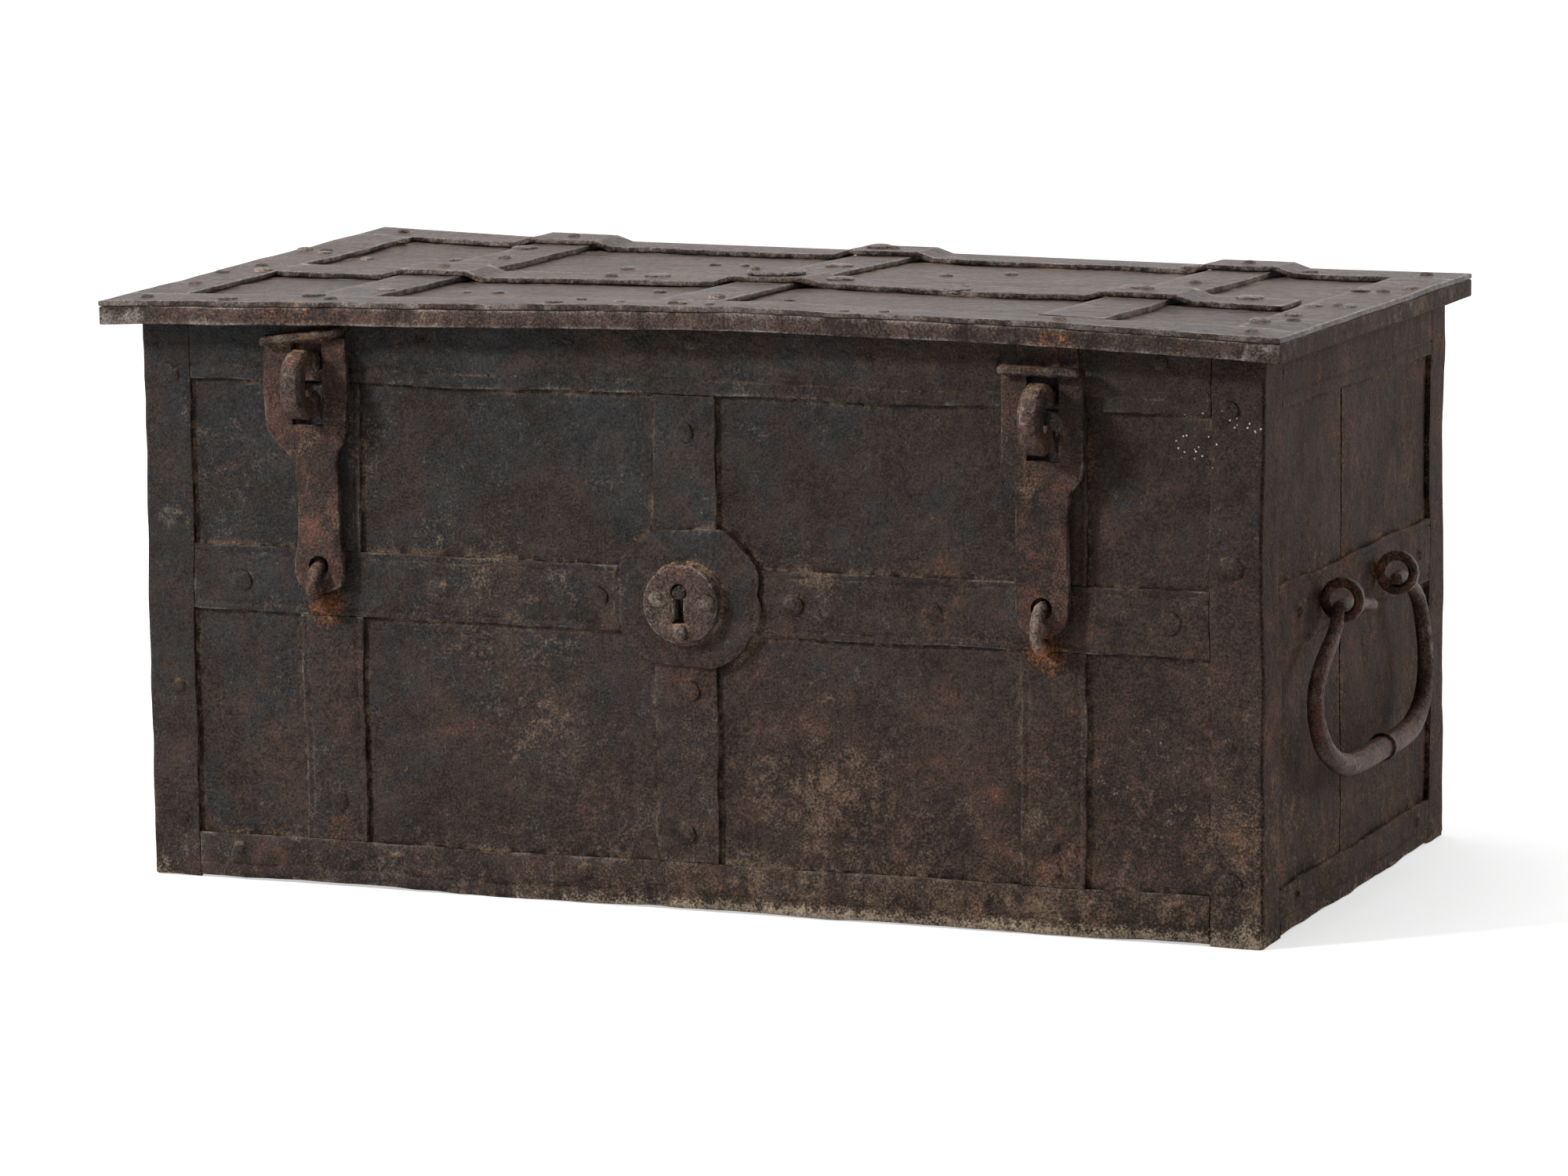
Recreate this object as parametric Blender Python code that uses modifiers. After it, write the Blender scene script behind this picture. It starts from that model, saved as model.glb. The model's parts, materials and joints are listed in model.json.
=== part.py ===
"""Wrought-iron strongbox: riveted sheets and straps, a hinged lid and a spiral-cam lid lock.

Metres, +Z up, front towards -Y. Z = 0 is where the four corner irons stand, and X = Y = 0 is
the middle of everything that the box takes up.
"""

from math import atan2, cos, hypot, pi, radians, sin, tan

import bmesh
import bpy
from mathutils import Matrix, Vector

# Fits
GAP = 0.0003
RUNNING = 0.0006
OVERRUN = 0.004
WELD = 0.00001

# Box, measured over its corner irons
WIDTH = 0.850
DEPTH = 0.453
RIM_Z = 0.4164
SHEET = 0.003
STRAP = 0.0035
FOOT_LIFT = 0.0015
FLOOR_Z = 0.004

# Corner irons, bands and uprights
IRON_FRONT = 0.038
IRON_SIDE = 0.040
TOP_BAND_H = 0.0494
RIM_FLANGE = 0.022
WAIST_DROP = 0.1939
WAIST_H = 0.047
FOOT_BAND_TOP = 0.034
UPRIGHT_W = 0.048
UPRIGHT_SHARES = (-0.649, 0.645)
CENTRE_W = 0.046
SEAM_SHARE = 0.430
SEAM_W = 0.003

# Rivets with domed heads
RIVET_R = 0.0058
RIVET_H = 0.0026
RIVET_SIDES = 8
RIVET_RINGS = 4
WAIST_RIVET_SHARES = (-0.816, -0.438, 0.435, 0.840)
FOOT_RIVET_SHARES = (-0.835, -0.539, -0.188, 0.212, 0.525, 0.849)
TOP_RIVET_SHARES = (-0.471, -0.216, 0.320, 0.541)
IRON_RIVET_SHARES = (0.110, 0.339, 0.636, 0.886)
SIDE_RIVET_SHARES = (0.188, 0.850)
CENTRE_LOW_RIVET_SHARES = (0.127, 0.758)
CENTRE_HIGH_RIVET_SHARE = 0.777
UPRIGHT_RIVET_SHARE = 0.176

# Lobed plate and false keyhole on the front. Each lobe starts at a notch in its outline and
# swells out to the next by a share of the straight way between them.
LOBED_T = 0.0032
LOBED_HALF_W = 0.0575
LOBED_HALF_H = 0.050
LOBE_STEPS = 5
LOBE_SHARES = (
    (0.36, 1.04, 0.12),
    (0.774, 0.74, 0.18),
    (0.977, 0.13, 0.18),
    (0.87, -0.50, 0.11),
    (0.36, -0.94, 0.0),
    (-0.37, -0.90, 0.12),
    (-0.78, -0.51, 0.13),
    (-0.90, -0.03, 0.13),
    (-0.77, 0.62, 0.10),
    (-0.36, 1.00, 0.0),
)
PLATE_RIVETS_OUT = (-0.0095, 0.0225)
BOSS_X = 0.001
BOSS_DROP = 0.0010
BOSS_R = 0.0315
BOSS_H = 0.0095
BOSS_PROFILE_SHARES = (
    (0, 1),
    (0.80, 1),
    (0.875, 0.93),
    (0.90, 0.75),
    (0.91, 0.35),
    (0.95, 0.12),
    (1, 0),
)
BOSS_STEPS = 24
BOSS_RIVET_SHARES = ((-0.571, 0.092), (0.613, 0.073), (0.0, -0.654))
BOSS_RIVET_R = 0.0046
KEY_R = 0.0064
KEY_LIFT = 0.0090
KEY_SLOT = 0.0072
KEY_FOOT = 0.0118
KEY_FOOT_H = 0.0028
KEY_FOOT_DROP = 0.0137
KEY_POST_R = 0.0053
KEY_POST_SINK = 0.0012
KEY_STEPS = 16

# Hasps, their ring staples and the hooks on the lid
HASP_SHARES = (-0.659, 0.634)
HASP_LEANS = (-0.0088, 0.0002)
HASP_TILTS = (radians(8), radians(-1))
HASP_T = 0.006
RING_RISES = (0.0, -0.0062)
RING_RS = (0.0130, 0.0140)
RING_BAR = 0.0100
RING_STAND = 0.0087
RING_TAIL = 0.010
HASP_EYE_R = 0.0080
HASP_TIP = 0.0062
HASP_OUTLINE_SHARES = (
    (
        (0.5, 1.0),
        (0.52, 0.80),
        (0.5, 0.63),
        (0.44, 0.575),
        (0.33, 0.535),
        (0.27, 0.49),
        (0.255, 0.36),
        (0.265, 0.20),
        (0.30, 0.11),
        (0.31, 0.04),
    ),
    (
        (0.5, 1.0),
        (0.495, 0.80),
        (0.5, 0.63),
        (0.47, 0.59),
        (0.40, 0.56),
        (0.335, 0.53),
        (0.32, 0.46),
        (0.315, 0.30),
        (0.33, 0.11),
        (0.31, 0.04),
    ),
)
HASP_END_SHARES = ((0.26, 0.10), (0.165, 0.66), (0.06, 1.0))
HASP_LEAN_SHARES = (0.45, 0.62)
HASP_WS = (0.0635, 0.0600)
HASP_LIP_H = 0.0065
HASP_LIP_OUT = 0.0095
LIP_EDGE = 0.0018
SLOT_W = 0.0235
SLOT_BELOW = 0.0062
SLOT_CLEAR = 0.0025
HOOK_REACH = 0.046
HOOK_LEANS = (-0.0050, 0.0018)
HOOK_DROPS = (0.0480, 0.0532)
HOOK_HALF_Y = 0.0150
HOOK_HALF_Z = 0.0178
HOOK_W = 0.0160
HOOK_BAR = 0.0130
HOOK_TIP_BAR = 0.0150
HOOK_START = radians(48)
HOOK_END = radians(338)
HOOK_STEPS = 13
HOOK_TAB_W = 0.044
HOOK_TAB_T = 0.0045
HOOK_TAB_H = 0.0474
HOOK_FOOT = 0.018

# Drop handles and their eyes
EYE_RISE = 0.0025
EYE_MID_SHARE = 0.446
EYE_SPACING = 0.138
EYE_R = 0.0160
EYE_HOLE_R = 0.0090
EYE_T = 0.0080
EYE_EDGE = 0.0016
EYE_STEPS = 14
EYE_SHANK_R = 0.0042
EYE_TAIL = 0.0060
HANDLE_W = 0.282
HANDLE_DROP = 0.117
HANDLE_END_R = 0.0046
HANDLE_GRIP_R = 0.0086
HANDLE_COLLAR_R = 0.0102
HANDLE_COLLAR_W = 0.0060
PEG_STRAIGHT = 0.009
PEG_LEFT = 0.006
HANDLE_STEPS = 2
PEG_TIP_SHARES = ((0.010, 0.085), (-0.100, 0.040))
FRONT_ARM_SHARES = (
    (0.105, 0.110, 0.11),
    (0.427, 0.225, 0.24),
    (0.740, 0.345, 0.33),
    (0.893, 0.500, 0.38),
    (0.754, 0.690, 0.47),
    (0.373, 0.860, 0.64),
)
GRIP_SHARES = ((-0.205, 0.985, 0.89), (-0.045, 1.0, 1.0), (0.150, 1.0, 1.0), (0.330, 0.990, 0.91))
REAR_ARM_SHARES = (
    (0.730, 0.915, 0.64),
    (1.0, 0.760, 0.47),
    (1.045, 0.600, 0.38),
    (0.933, 0.400, 0.33),
    (0.722, 0.200, 0.24),
    (0.329, 0.070, 0.11),
)
COLLAR_SHARE = 0.120

# Lid
LID_SIDE = 0.0195
LID_FRONT = 0.028
LID_SHEET = 0.003
LID_STRAP = 0.004
LID_STRAP_W = 0.047
SKIRT_T = 0.006
SKIRT_H = 0.0127
LONG_STRAP_SHARE = 0.4172
LONG_STRAP_SHORT = 0.011
LID_STRAP_SHARES = (-0.6353, -0.0094, 0.6588)
HUMP_FLAT = 0.0040
HUMP_RAMP = 0.013
LID_SPRING = 0.013
SPRING_X_SHARES = (-1.0, -0.72, -0.45, -0.15, 0.11, 0.34, 0.58, 0.79, 1.0)
SPRING_FRONT_SHARES = (0.0, 0.23, 0.38, 0.62, 0.75, 0.68, 0.50, 0.31, 0.0)
SPRING_BACK_SHARES = (1.0, 0.65, 0.48, 0.40, 0.32, 0.19, 0.08, 0.02, 0.0)
SPRING_ROWS = 6
LID_CORNER_RIVET = 0.028
LID_RIVET_STEP = 0.110

# Hinges
HINGE_DROP = 0.0044
KNUCKLE_R = 0.0075
PIN_HEAD_R = 0.0056
PIN_HEAD = 0.0025
LID_KNUCKLE_W = 0.020
ROLL_STEPS = 10
ROLL_TURN = radians(288)
BACK_STRAP_JOGGLE = 0.012

# Keyhole cover and keyhole in the lid
COVER_R = 0.0215
COVER_T = 0.0025
COVER_PIVOT = 0.0165
COVER_PIN_R = 0.0030
COVER_STEPS = 28
LID_KEY_R = 0.0045
LID_KEY_SLOT = 0.0044
LID_KEY_REACH = 0.0115

# Lock under the lid
FLANGE_CLEAR = 0.0018
SLIDE_T = 0.005
SLIDE_W = 0.016
HEAD_W = 0.024
HEAD_L = 0.018
YOKE_W = 0.016
BOLT_CLEAR = 0.003
BOLT_TRAVEL = 0.012
FRONT_HEAD_SHARES = (-0.518, 0.0, 0.518)
BACK_HEAD_SHARES = (-0.353, 0.353)
SIDE_HEAD_SHARES = (-0.309, 0.309)
HUB_T = 0.005
HUB_EDGE = 0.006
HUB_TURN = radians(60)
HUB_BOSS_R = 0.014
HUB_STEPS = 28
CAM_R = 0.024
CAM_PIN_R = 0.0035
CAM_STEPS = 6
SLIDE_INNER = 0.007
LOCK_PLATE_T = 0.003
LOCK_PLATE_HALF = 0.072
LOCK_CORNER = 0.066
LOCK_ARM_W = 0.040
GUIDE_L = 0.008
GUIDE_T = 0.0035
GUIDE_CLEAR = 0.002
GUIDE_BACK = 0.020
POST_R = 0.005
POST_AT = 0.056
POST_FAR = 0.012
LOCK_COVER_R = 0.060
LOCK_COVER_T = 0.003
LOCK_COVER_LEG_R = 0.0045
LOCK_COVER_LEG_AT = 0.0535
LOCK_COVER_HOLE_R = 0.010
LOCK_COVER_HOLE_AT = 0.034
LOCK_COVER_HOLES = 8
LOCK_COVER_OVERRUN = 0.0005
CAM_OVERRUN = 0.001
ROUND_STEPS = 12
SMALL_STEPS = 8

# Worked out from the sizes above
KNUCKLE_REACH = GAP + 2 * KNUCKLE_R
ROLL_R = KNUCKLE_R - LID_STRAP / 2
PIN_R = ROLL_R * cos(ROLL_TURN / ROLL_STEPS / 2) - LID_STRAP / 2 - GAP
FRONT = -(DEPTH + KNUCKLE_REACH - HOOK_REACH) / 2
BACK = FRONT + DEPTH
HALF = WIDTH / 2
TOP_BAND_LOW = RIM_Z - TOP_BAND_H
WAIST_Z = RIM_Z - WAIST_DROP
SHEET_OUT = STRAP + GAP
SHEET_IN = SHEET_OUT + SHEET
IRON_TOP = RIM_Z - STRAP - GAP
WAIST_LOW = WAIST_Z - WAIST_H / 2
WAIST_TOP = WAIST_Z + WAIST_H / 2
PLATE_LOW = RIM_Z + GAP
PLATE_TOP = PLATE_LOW + LID_SHEET
STRAP_LOW = PLATE_TOP + GAP
STRAP_TOP = STRAP_LOW + LID_STRAP
HUMP = LID_STRAP + GAP
LID_HALF = HALF + LID_SIDE
LID_Y = FRONT - LID_FRONT
STRAP_REAR = LID_Y + LID_STRAP_W
LID_STRAP_X = tuple(share * HALF for share in LID_STRAP_SHARES)
LONG_STRAP_Y = LONG_STRAP_SHARE * DEPTH
KEY = Vector((LID_STRAP_X[1], FRONT + LONG_STRAP_Y, 0.0))
UPRIGHT_X = tuple(share * HALF for share in UPRIGHT_SHARES)
BOSS_Z = WAIST_Z - BOSS_DROP
EYE_Z = WAIST_Z + EYE_RISE
EYE_MID_Y = EYE_MID_SHARE * DEPTH
HINGE_Y = BACK + GAP + KNUCKLE_R
HINGE_Z = RIM_Z - HINGE_DROP
RING_Y = FRONT - RING_STAND
HASP_BACK = RING_Y + HASP_T / 2
HASP_FACE = RING_Y - HASP_T / 2
HASP_X = tuple(share * HALF for share in HASP_SHARES)
HOOK_X = tuple(x + lean for x, lean in zip(HASP_X, HOOK_LEANS))
RING_Z = tuple(WAIST_Z + rise for rise in RING_RISES)
HOOK_Z = tuple(RIM_Z - drop for drop in HOOK_DROPS)
HOOK_Y = FRONT - HOOK_REACH + HOOK_HALF_Y + HOOK_BAR / 2
SLIDE_TOP = RIM_Z - STRAP - FLANGE_CLEAR
SLIDE_LOW = SLIDE_TOP - SLIDE_T
HUB_TOP = SLIDE_LOW - GAP
HUB_LOW = HUB_TOP - HUB_T
HUB_R = CAM_R + BOLT_TRAVEL + CAM_PIN_R + RUNNING + HUB_EDGE
GUIDE_NEAR = LOCK_COVER_R + GUIDE_CLEAR + GUIDE_L / 2
LOCK_LOW = SLIDE_TOP + GAP
LOCK_TOP = LOCK_LOW + LOCK_PLATE_T
BOLT_TIP = RIM_FLANGE + BOLT_CLEAR
FRONT_TIP = LONG_STRAP_Y - BOLT_TIP
BACK_TIP = DEPTH - LONG_STRAP_Y - BOLT_TIP
LEFT_TIP = HALF + KEY.x - BOLT_TIP
RIGHT_TIP = HALF - KEY.x - BOLT_TIP
FRONT_HEADS = [share * HALF for share in FRONT_HEAD_SHARES]
BACK_HEADS = [share * HALF for share in BACK_HEAD_SHARES]
SIDE_HEADS = [share * DEPTH / 2 for share in SIDE_HEAD_SHARES]
SIDES = (("left", 0), ("right", 1))

IRON = ((0.075, 0.060, 0.056), 0.62, 0.75)
IRON_DARK = ((0.045, 0.044, 0.047), 0.58, 0.80)
IRON_RUST = ((0.115, 0.062, 0.044), 0.78, 0.45)
IRON_WORN = ((0.140, 0.125, 0.118), 0.48, 0.90)


def collection(name):
    made = bpy.data.collections.new(name)
    bpy.context.scene.collection.children.link(made)
    return made


def clear_scene():
    for obj in list(bpy.data.objects):
        bpy.data.objects.remove(obj)


def finish_of(name, look):
    """A material of the part's own: colour, roughness and how metallic it is."""
    colour, rough, metal = look
    made = bpy.data.materials.new(name)
    made.use_nodes = True
    shader = made.node_tree.nodes["Principled BSDF"]
    shader.inputs["Base Color"].default_value = (*colour, 1.0)
    shader.inputs["Roughness"].default_value = rough
    shader.inputs["Metallic"].default_value = metal
    return made


def mesh_of(name, bm):
    mesh = bpy.data.meshes.new(name)
    bmesh.ops.recalc_face_normals(bm, faces=bm.faces)
    bm.to_mesh(mesh)
    bm.free()
    return mesh


def box_mesh(name, low, high):
    low, high = Vector(low), Vector(high)
    size = high - low
    bm = bmesh.new()
    place = Matrix.Translation((low + high) / 2) @ Matrix.Diagonal((*size, 1.0))
    bmesh.ops.create_cube(bm, size=1.0, matrix=place)
    return mesh_of(name, bm)


def rod_mesh(name, start, end, radius, steps=ROUND_STEPS):
    start, end = Vector(start), Vector(end)
    run = end - start
    turn = run.to_track_quat("Z", "Y").to_matrix().to_4x4()
    bm = bmesh.new()
    bmesh.ops.create_cone(
        bm,
        cap_ends=True,
        segments=steps,
        radius1=radius,
        radius2=radius,
        depth=run.length,
        matrix=Matrix.Translation((start + end) / 2) @ turn,
    )
    return mesh_of(name, bm)


def joined(name, meshes):
    """One mesh that holds all of these."""
    bm = bmesh.new()
    for mesh in meshes:
        bm.from_mesh(mesh)
        bpy.data.meshes.remove(mesh)
    mesh = bpy.data.meshes.new(name)
    bm.to_mesh(mesh)
    bm.free()
    return mesh


def along_x(x):
    """Takes an outline of (y, z) points, and its thickness, to run along X about x."""
    turn = Matrix(((0, 0, 1, x), (1, 0, 0, 0), (0, 1, 0, 0), (0, 0, 0, 1)))
    return turn


def along_y(y):
    """Takes an outline of (x, z) points, and its thickness, to run along Y about y."""
    turn = Matrix(((1, 0, 0, 0), (0, 0, -1, y), (0, 1, 0, 0), (0, 0, 0, 1)))
    return turn


def along_z(z):
    return Matrix.Translation((0, 0, z))


def outline_mesh(name, outline, thickness, place):
    """A flat outline, extruded by half its thickness each way."""
    curve = bpy.data.curves.new(name, "CURVE")
    curve.dimensions = "2D"
    curve.fill_mode = "BOTH"
    curve.extrude = thickness / 2
    spline = curve.splines.new("POLY")
    spline.points.add(len(outline) - 1)
    for point, (across, up) in zip(spline.points, outline):
        point.co = (across, up, 0.0, 1.0)
    spline.use_cyclic_u = True
    return mesh_from_curve(name, curve, place, True)


def mesh_from_curve(name, curve, place, flat=False):
    """A curve's mesh with its caps welded on. A flat outline's caps become one face each."""
    guide = bpy.data.objects.new(name, curve)
    bpy.context.scene.collection.objects.link(guide)
    graph = bpy.context.evaluated_depsgraph_get()
    mesh = bpy.data.meshes.new_from_object(guide.evaluated_get(graph))
    bpy.data.objects.remove(guide)
    bm = bmesh.new()
    bm.from_mesh(mesh)
    bpy.data.meshes.remove(mesh)
    bmesh.ops.remove_doubles(bm, verts=bm.verts, dist=WELD)
    if flat:
        angle = radians(0.5)
        bmesh.ops.dissolve_limit(bm, angle_limit=angle, verts=bm.verts, edges=bm.edges)
    bmesh.ops.transform(bm, matrix=place, verts=bm.verts)
    return mesh_of(name, bm)


def turned_mesh(name, profile, steps, place):
    """A profile of (radius, height) points, top to bottom, turned about its own Z."""
    bm = bmesh.new()
    points = [bm.verts.new((radius, 0.0, height)) for radius, height in profile]
    for first, second in zip(points, points[1:]):
        bm.edges.new((first, second))
    mesh = bpy.data.meshes.new(name)
    bm.to_mesh(mesh)
    bm.free()
    guide = bpy.data.objects.new(name, mesh)
    bpy.context.scene.collection.objects.link(guide)
    screw = guide.modifiers.new("Turn", "SCREW")
    screw.steps = steps
    screw.render_steps = steps
    screw.use_merge_vertices = True
    screw.merge_threshold = WELD
    graph = bpy.context.evaluated_depsgraph_get()
    turned = bpy.data.meshes.new_from_object(guide.evaluated_get(graph))
    bpy.data.objects.remove(guide)
    bm = bmesh.new()
    bm.from_mesh(turned)
    bpy.data.meshes.remove(turned)
    bmesh.ops.remove_doubles(bm, verts=bm.verts, dist=WELD)
    poles = [vertex for vertex in bm.verts if hypot(vertex.co.x, vertex.co.y) < WELD]
    bmesh.ops.dissolve_verts(bm, verts=poles)
    bmesh.ops.transform(bm, matrix=place, verts=bm.verts)
    return mesh_of(name, bm)


def arc(centre, radius_x, radius_y, start, turn, steps):
    """Points on an ellipse from one angle through a turn, both ends included."""
    angles = [start + turn * step / steps for step in range(steps + 1)]
    return [(centre[0] + radius_x * cos(a), centre[1] + radius_y * sin(a)) for a in angles]


def sides_of(path, widths):
    """Points on both sides of a path, half a width away, with square mitres."""
    left, right = [], []
    last = len(path) - 1
    for index, (x, y) in enumerate(path):
        before = path[max(index - 1, 0)]
        after = path[min(index + 1, last)]
        first = Vector((x - before[0], y - before[1])) if index else None
        second = Vector((after[0] - x, after[1] - y)) if index < last else None
        first, second = first or second, second or first
        first, second = first.normalized(), second.normalized()
        along = (first + second).normalized()
        reach = widths[index] / 2 / max(along.dot(first), 0.5)
        left.append((x - along.y * reach, y + along.x * reach))
        right.append((x + along.y * reach, y - along.x * reach))
    return left, right


def thickened(path, thickness):
    """The closed outline of a bar whose middle follows the path."""
    widths = thickness if isinstance(thickness, list) else [thickness] * len(path)
    left, right = sides_of(path, widths)
    return left + right[::-1]


def round_ended(path, width, steps=4):
    """The outline of a slot: a thickened path with half-round ends."""
    left, right = sides_of(path, [width] * len(path))
    (x0, y0), (x1, y1) = path[0], path[1]
    (x2, y2), (x3, y3) = path[-2], path[-1]
    head = atan2(y3 - y2, x3 - x2)
    tail = atan2(y0 - y1, x0 - x1)
    outer = arc((x3, y3), width / 2, width / 2, head + pi / 2, -pi, steps)
    inner = arc((x0, y0), width / 2, width / 2, tail + pi / 2, -pi, steps)
    return left[:-1] + outer + right[1:-1][::-1] + inner[:-1]


class Box:
    """The strongbox being made: its two collections and what goes in them."""

    def __init__(self):
        self.parts = collection("strongbox")
        self.cutters = collection("cutters")

    def add(self, name, mesh, look, origin=None):
        """Puts a mesh in the scene as one sub-part, with its origin in its middle or as given."""
        if origin is None:
            corners = [vertex.co for vertex in mesh.vertices]
            low = Vector(min(co[i] for co in corners) for i in range(3))
            high = Vector(max(co[i] for co in corners) for i in range(3))
            origin = (low + high) / 2
        origin = Vector(origin)
        mesh.transform(Matrix.Translation(-origin))
        mesh.name = name
        mesh.materials.clear()
        mesh.materials.append(finish_of(name, look))
        obj = bpy.data.objects.new(name, mesh)
        obj.location = origin
        self.parts.objects.link(obj)
        return obj

    def helper(self, name, mesh):
        obj = bpy.data.objects.new(name, mesh)
        obj.hide_render = True
        obj.display_type = "WIRE"
        self.cutters.objects.link(obj)
        return obj

    def boolean(self, obj, tool, operation):
        modifier = obj.modifiers.new(tool.name, "BOOLEAN")
        modifier.operation = operation
        modifier.solver = "EXACT"
        modifier.object = tool

    def cut(self, obj, *tools):
        for tool in tools:
            self.boolean(obj, tool, "DIFFERENCE")

    def fuse(self, obj, name, mesh):
        self.boolean(obj, self.helper(name, mesh), "UNION")


def rounded(obj, width, segments=1):
    bevel = obj.modifiers.new("Forged edge", "BEVEL")
    bevel.width = width
    bevel.segments = segments
    bevel.limit_method = "ANGLE"
    bevel.angle_limit = radians(40)
    return obj


def smooth(obj):
    obj.data.shade_smooth()
    obj.data.set_sharp_from_angle(angle=radians(35))
    return obj


def dome_mesh(at, normal, radius=RIVET_R, height=RIVET_H):
    """A rivet's domed head: a flattened ball, a little over half sunk in what carries it."""
    turn = Vector(normal).to_track_quat("Z", "Y").to_matrix().to_4x4()
    at = Vector(at) - Vector(normal) * GAP
    size = Matrix.Diagonal((radius, radius, height, 1.0))
    bm = bmesh.new()
    bmesh.ops.create_uvsphere(
        bm,
        u_segments=RIVET_SIDES,
        v_segments=RIVET_RINGS,
        radius=1.0,
        matrix=Matrix.Translation(at) @ turn @ size,
    )
    return mesh_of("dome", bm)


def rivet(box, obj, places, normal, radius=RIVET_R, height=RIVET_H):
    domes = [dome_mesh(at, normal, radius, height) for at in places]
    box.fuse(obj, obj.name + "_rivets", joined(obj.name + "_rivets", domes))


def at_front(x, z):
    return (x, FRONT, z)


def at_back(x, z):
    return (x, BACK, z)


def make_sheets(box, legs, shanks):
    """Front, back, sides and floor, which the straps hold together at their edges."""
    inner_x = HALF - SHEET_IN
    seam_y = FRONT + SEAM_SHARE * DEPTH
    front = box_mesh(
        "front",
        (-HALF + SHEET_OUT, FRONT + SHEET_OUT, FOOT_LIFT),
        (HALF - SHEET_OUT, FRONT + SHEET_IN, IRON_TOP),
    )
    box.cut(box.add("front_sheet", front, IRON_DARK), legs)
    back = box_mesh(
        "back",
        (-HALF + SHEET_OUT, BACK - SHEET_IN, FOOT_LIFT),
        (HALF - SHEET_OUT, BACK - SHEET_OUT, IRON_TOP),
    )
    box.add("back_sheet", back, IRON_DARK)
    for side, name in ((-1, "left"), (1, "right")):
        edges = sorted((side * inner_x, side * (HALF - SHEET_OUT)))
        wall = box_mesh(
            name,
            (edges[0], FRONT + SHEET_IN + GAP, FOOT_LIFT),
            (edges[1], BACK - SHEET_IN - GAP, IRON_TOP),
        )
        wall = box.add(name + "_side_sheet", wall, IRON_DARK)
        seam = box_mesh(
            name + "_seam",
            (edges[0] - OVERRUN, seam_y - SEAM_W / 2, FOOT_BAND_TOP - OVERRUN),
            (edges[1] + OVERRUN, seam_y + SEAM_W / 2, TOP_BAND_LOW + OVERRUN),
        )
        box.cut(wall, box.helper(name + "_seam", seam), shanks)
    floor = box_mesh(
        "floor",
        (-inner_x + GAP, FRONT + SHEET_IN + GAP, FLOOR_Z),
        (inner_x - GAP, BACK - SHEET_IN - GAP, FLOOR_Z + SHEET),
    )
    box.add("floor_sheet", floor, IRON_DARK)


def make_corner_irons(box):
    """Four angle irons, which end lower than the rest and so are the feet."""
    for side, word in ((-1, "left"), (1, "right")):
        for end, wall, inward in (("front", FRONT, 1), ("back", BACK, -1)):
            x, leg_x = side * HALF, -side * IRON_FRONT
            outline = [
                (x, wall),
                (x + leg_x, wall),
                (x + leg_x, wall + inward * STRAP),
                (x - side * STRAP, wall + inward * STRAP),
                (x - side * STRAP, wall + inward * IRON_SIDE),
                (x, wall + inward * IRON_SIDE),
            ]
            mesh = outline_mesh(end + word, outline, IRON_TOP, along_z(IRON_TOP / 2))
            name = "corner_iron_" + end + "_" + word
            iron = box.add(name, mesh, IRON_DARK if side < 0 else IRON)
            mid = x + leg_x * 2 / 3
            places = [(mid, wall, share * RIM_Z) for share in IRON_RIVET_SHARES]
            rivet(box, iron, places, (0, -inward, 0))


def make_rims(box):
    """Angle irons along the top: a band outside and a flange over the sheets' edges."""
    for end, wall, inward in (("front", FRONT, 1), ("back", BACK, -1)):
        band = sorted((wall, wall + inward * STRAP))
        reach = HALF - IRON_FRONT - GAP
        mesh = box_mesh(end, (-reach, band[0], TOP_BAND_LOW), (reach, band[1], RIM_Z))
        rim = box.add("rim_" + end, mesh, IRON_DARK)
        cover = sorted((wall, wall + inward * RIM_FLANGE))
        flange = box_mesh(
            "flange", (-HALF, cover[0], RIM_Z - STRAP), (HALF, cover[1], RIM_Z)
        )
        box.fuse(rim, "flange_" + end, flange)
        high = (TOP_BAND_LOW + RIM_Z) / 2 + RIVET_R
        places = [(share * HALF, wall, high) for share in TOP_RIVET_SHARES]
        rivet(box, rim, places, (0, -inward, 0))
    for side, word in ((-1, "left"), (1, "right")):
        outer = side * HALF
        band = sorted((outer, outer - side * STRAP))
        low_y, high_y = FRONT + IRON_SIDE + GAP, BACK - IRON_SIDE - GAP
        mesh = box_mesh(word, (band[0], low_y, TOP_BAND_LOW), (band[1], high_y, RIM_Z))
        rim = box.add("rim_" + word, mesh, IRON)
        cover = sorted((outer, outer - side * RIM_FLANGE))
        flange = box_mesh(
            "flange",
            (cover[0], FRONT + RIM_FLANGE + GAP, RIM_Z - STRAP),
            (cover[1], BACK - RIM_FLANGE - GAP, RIM_Z),
        )
        box.fuse(rim, "flange_" + word, flange)


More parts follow.
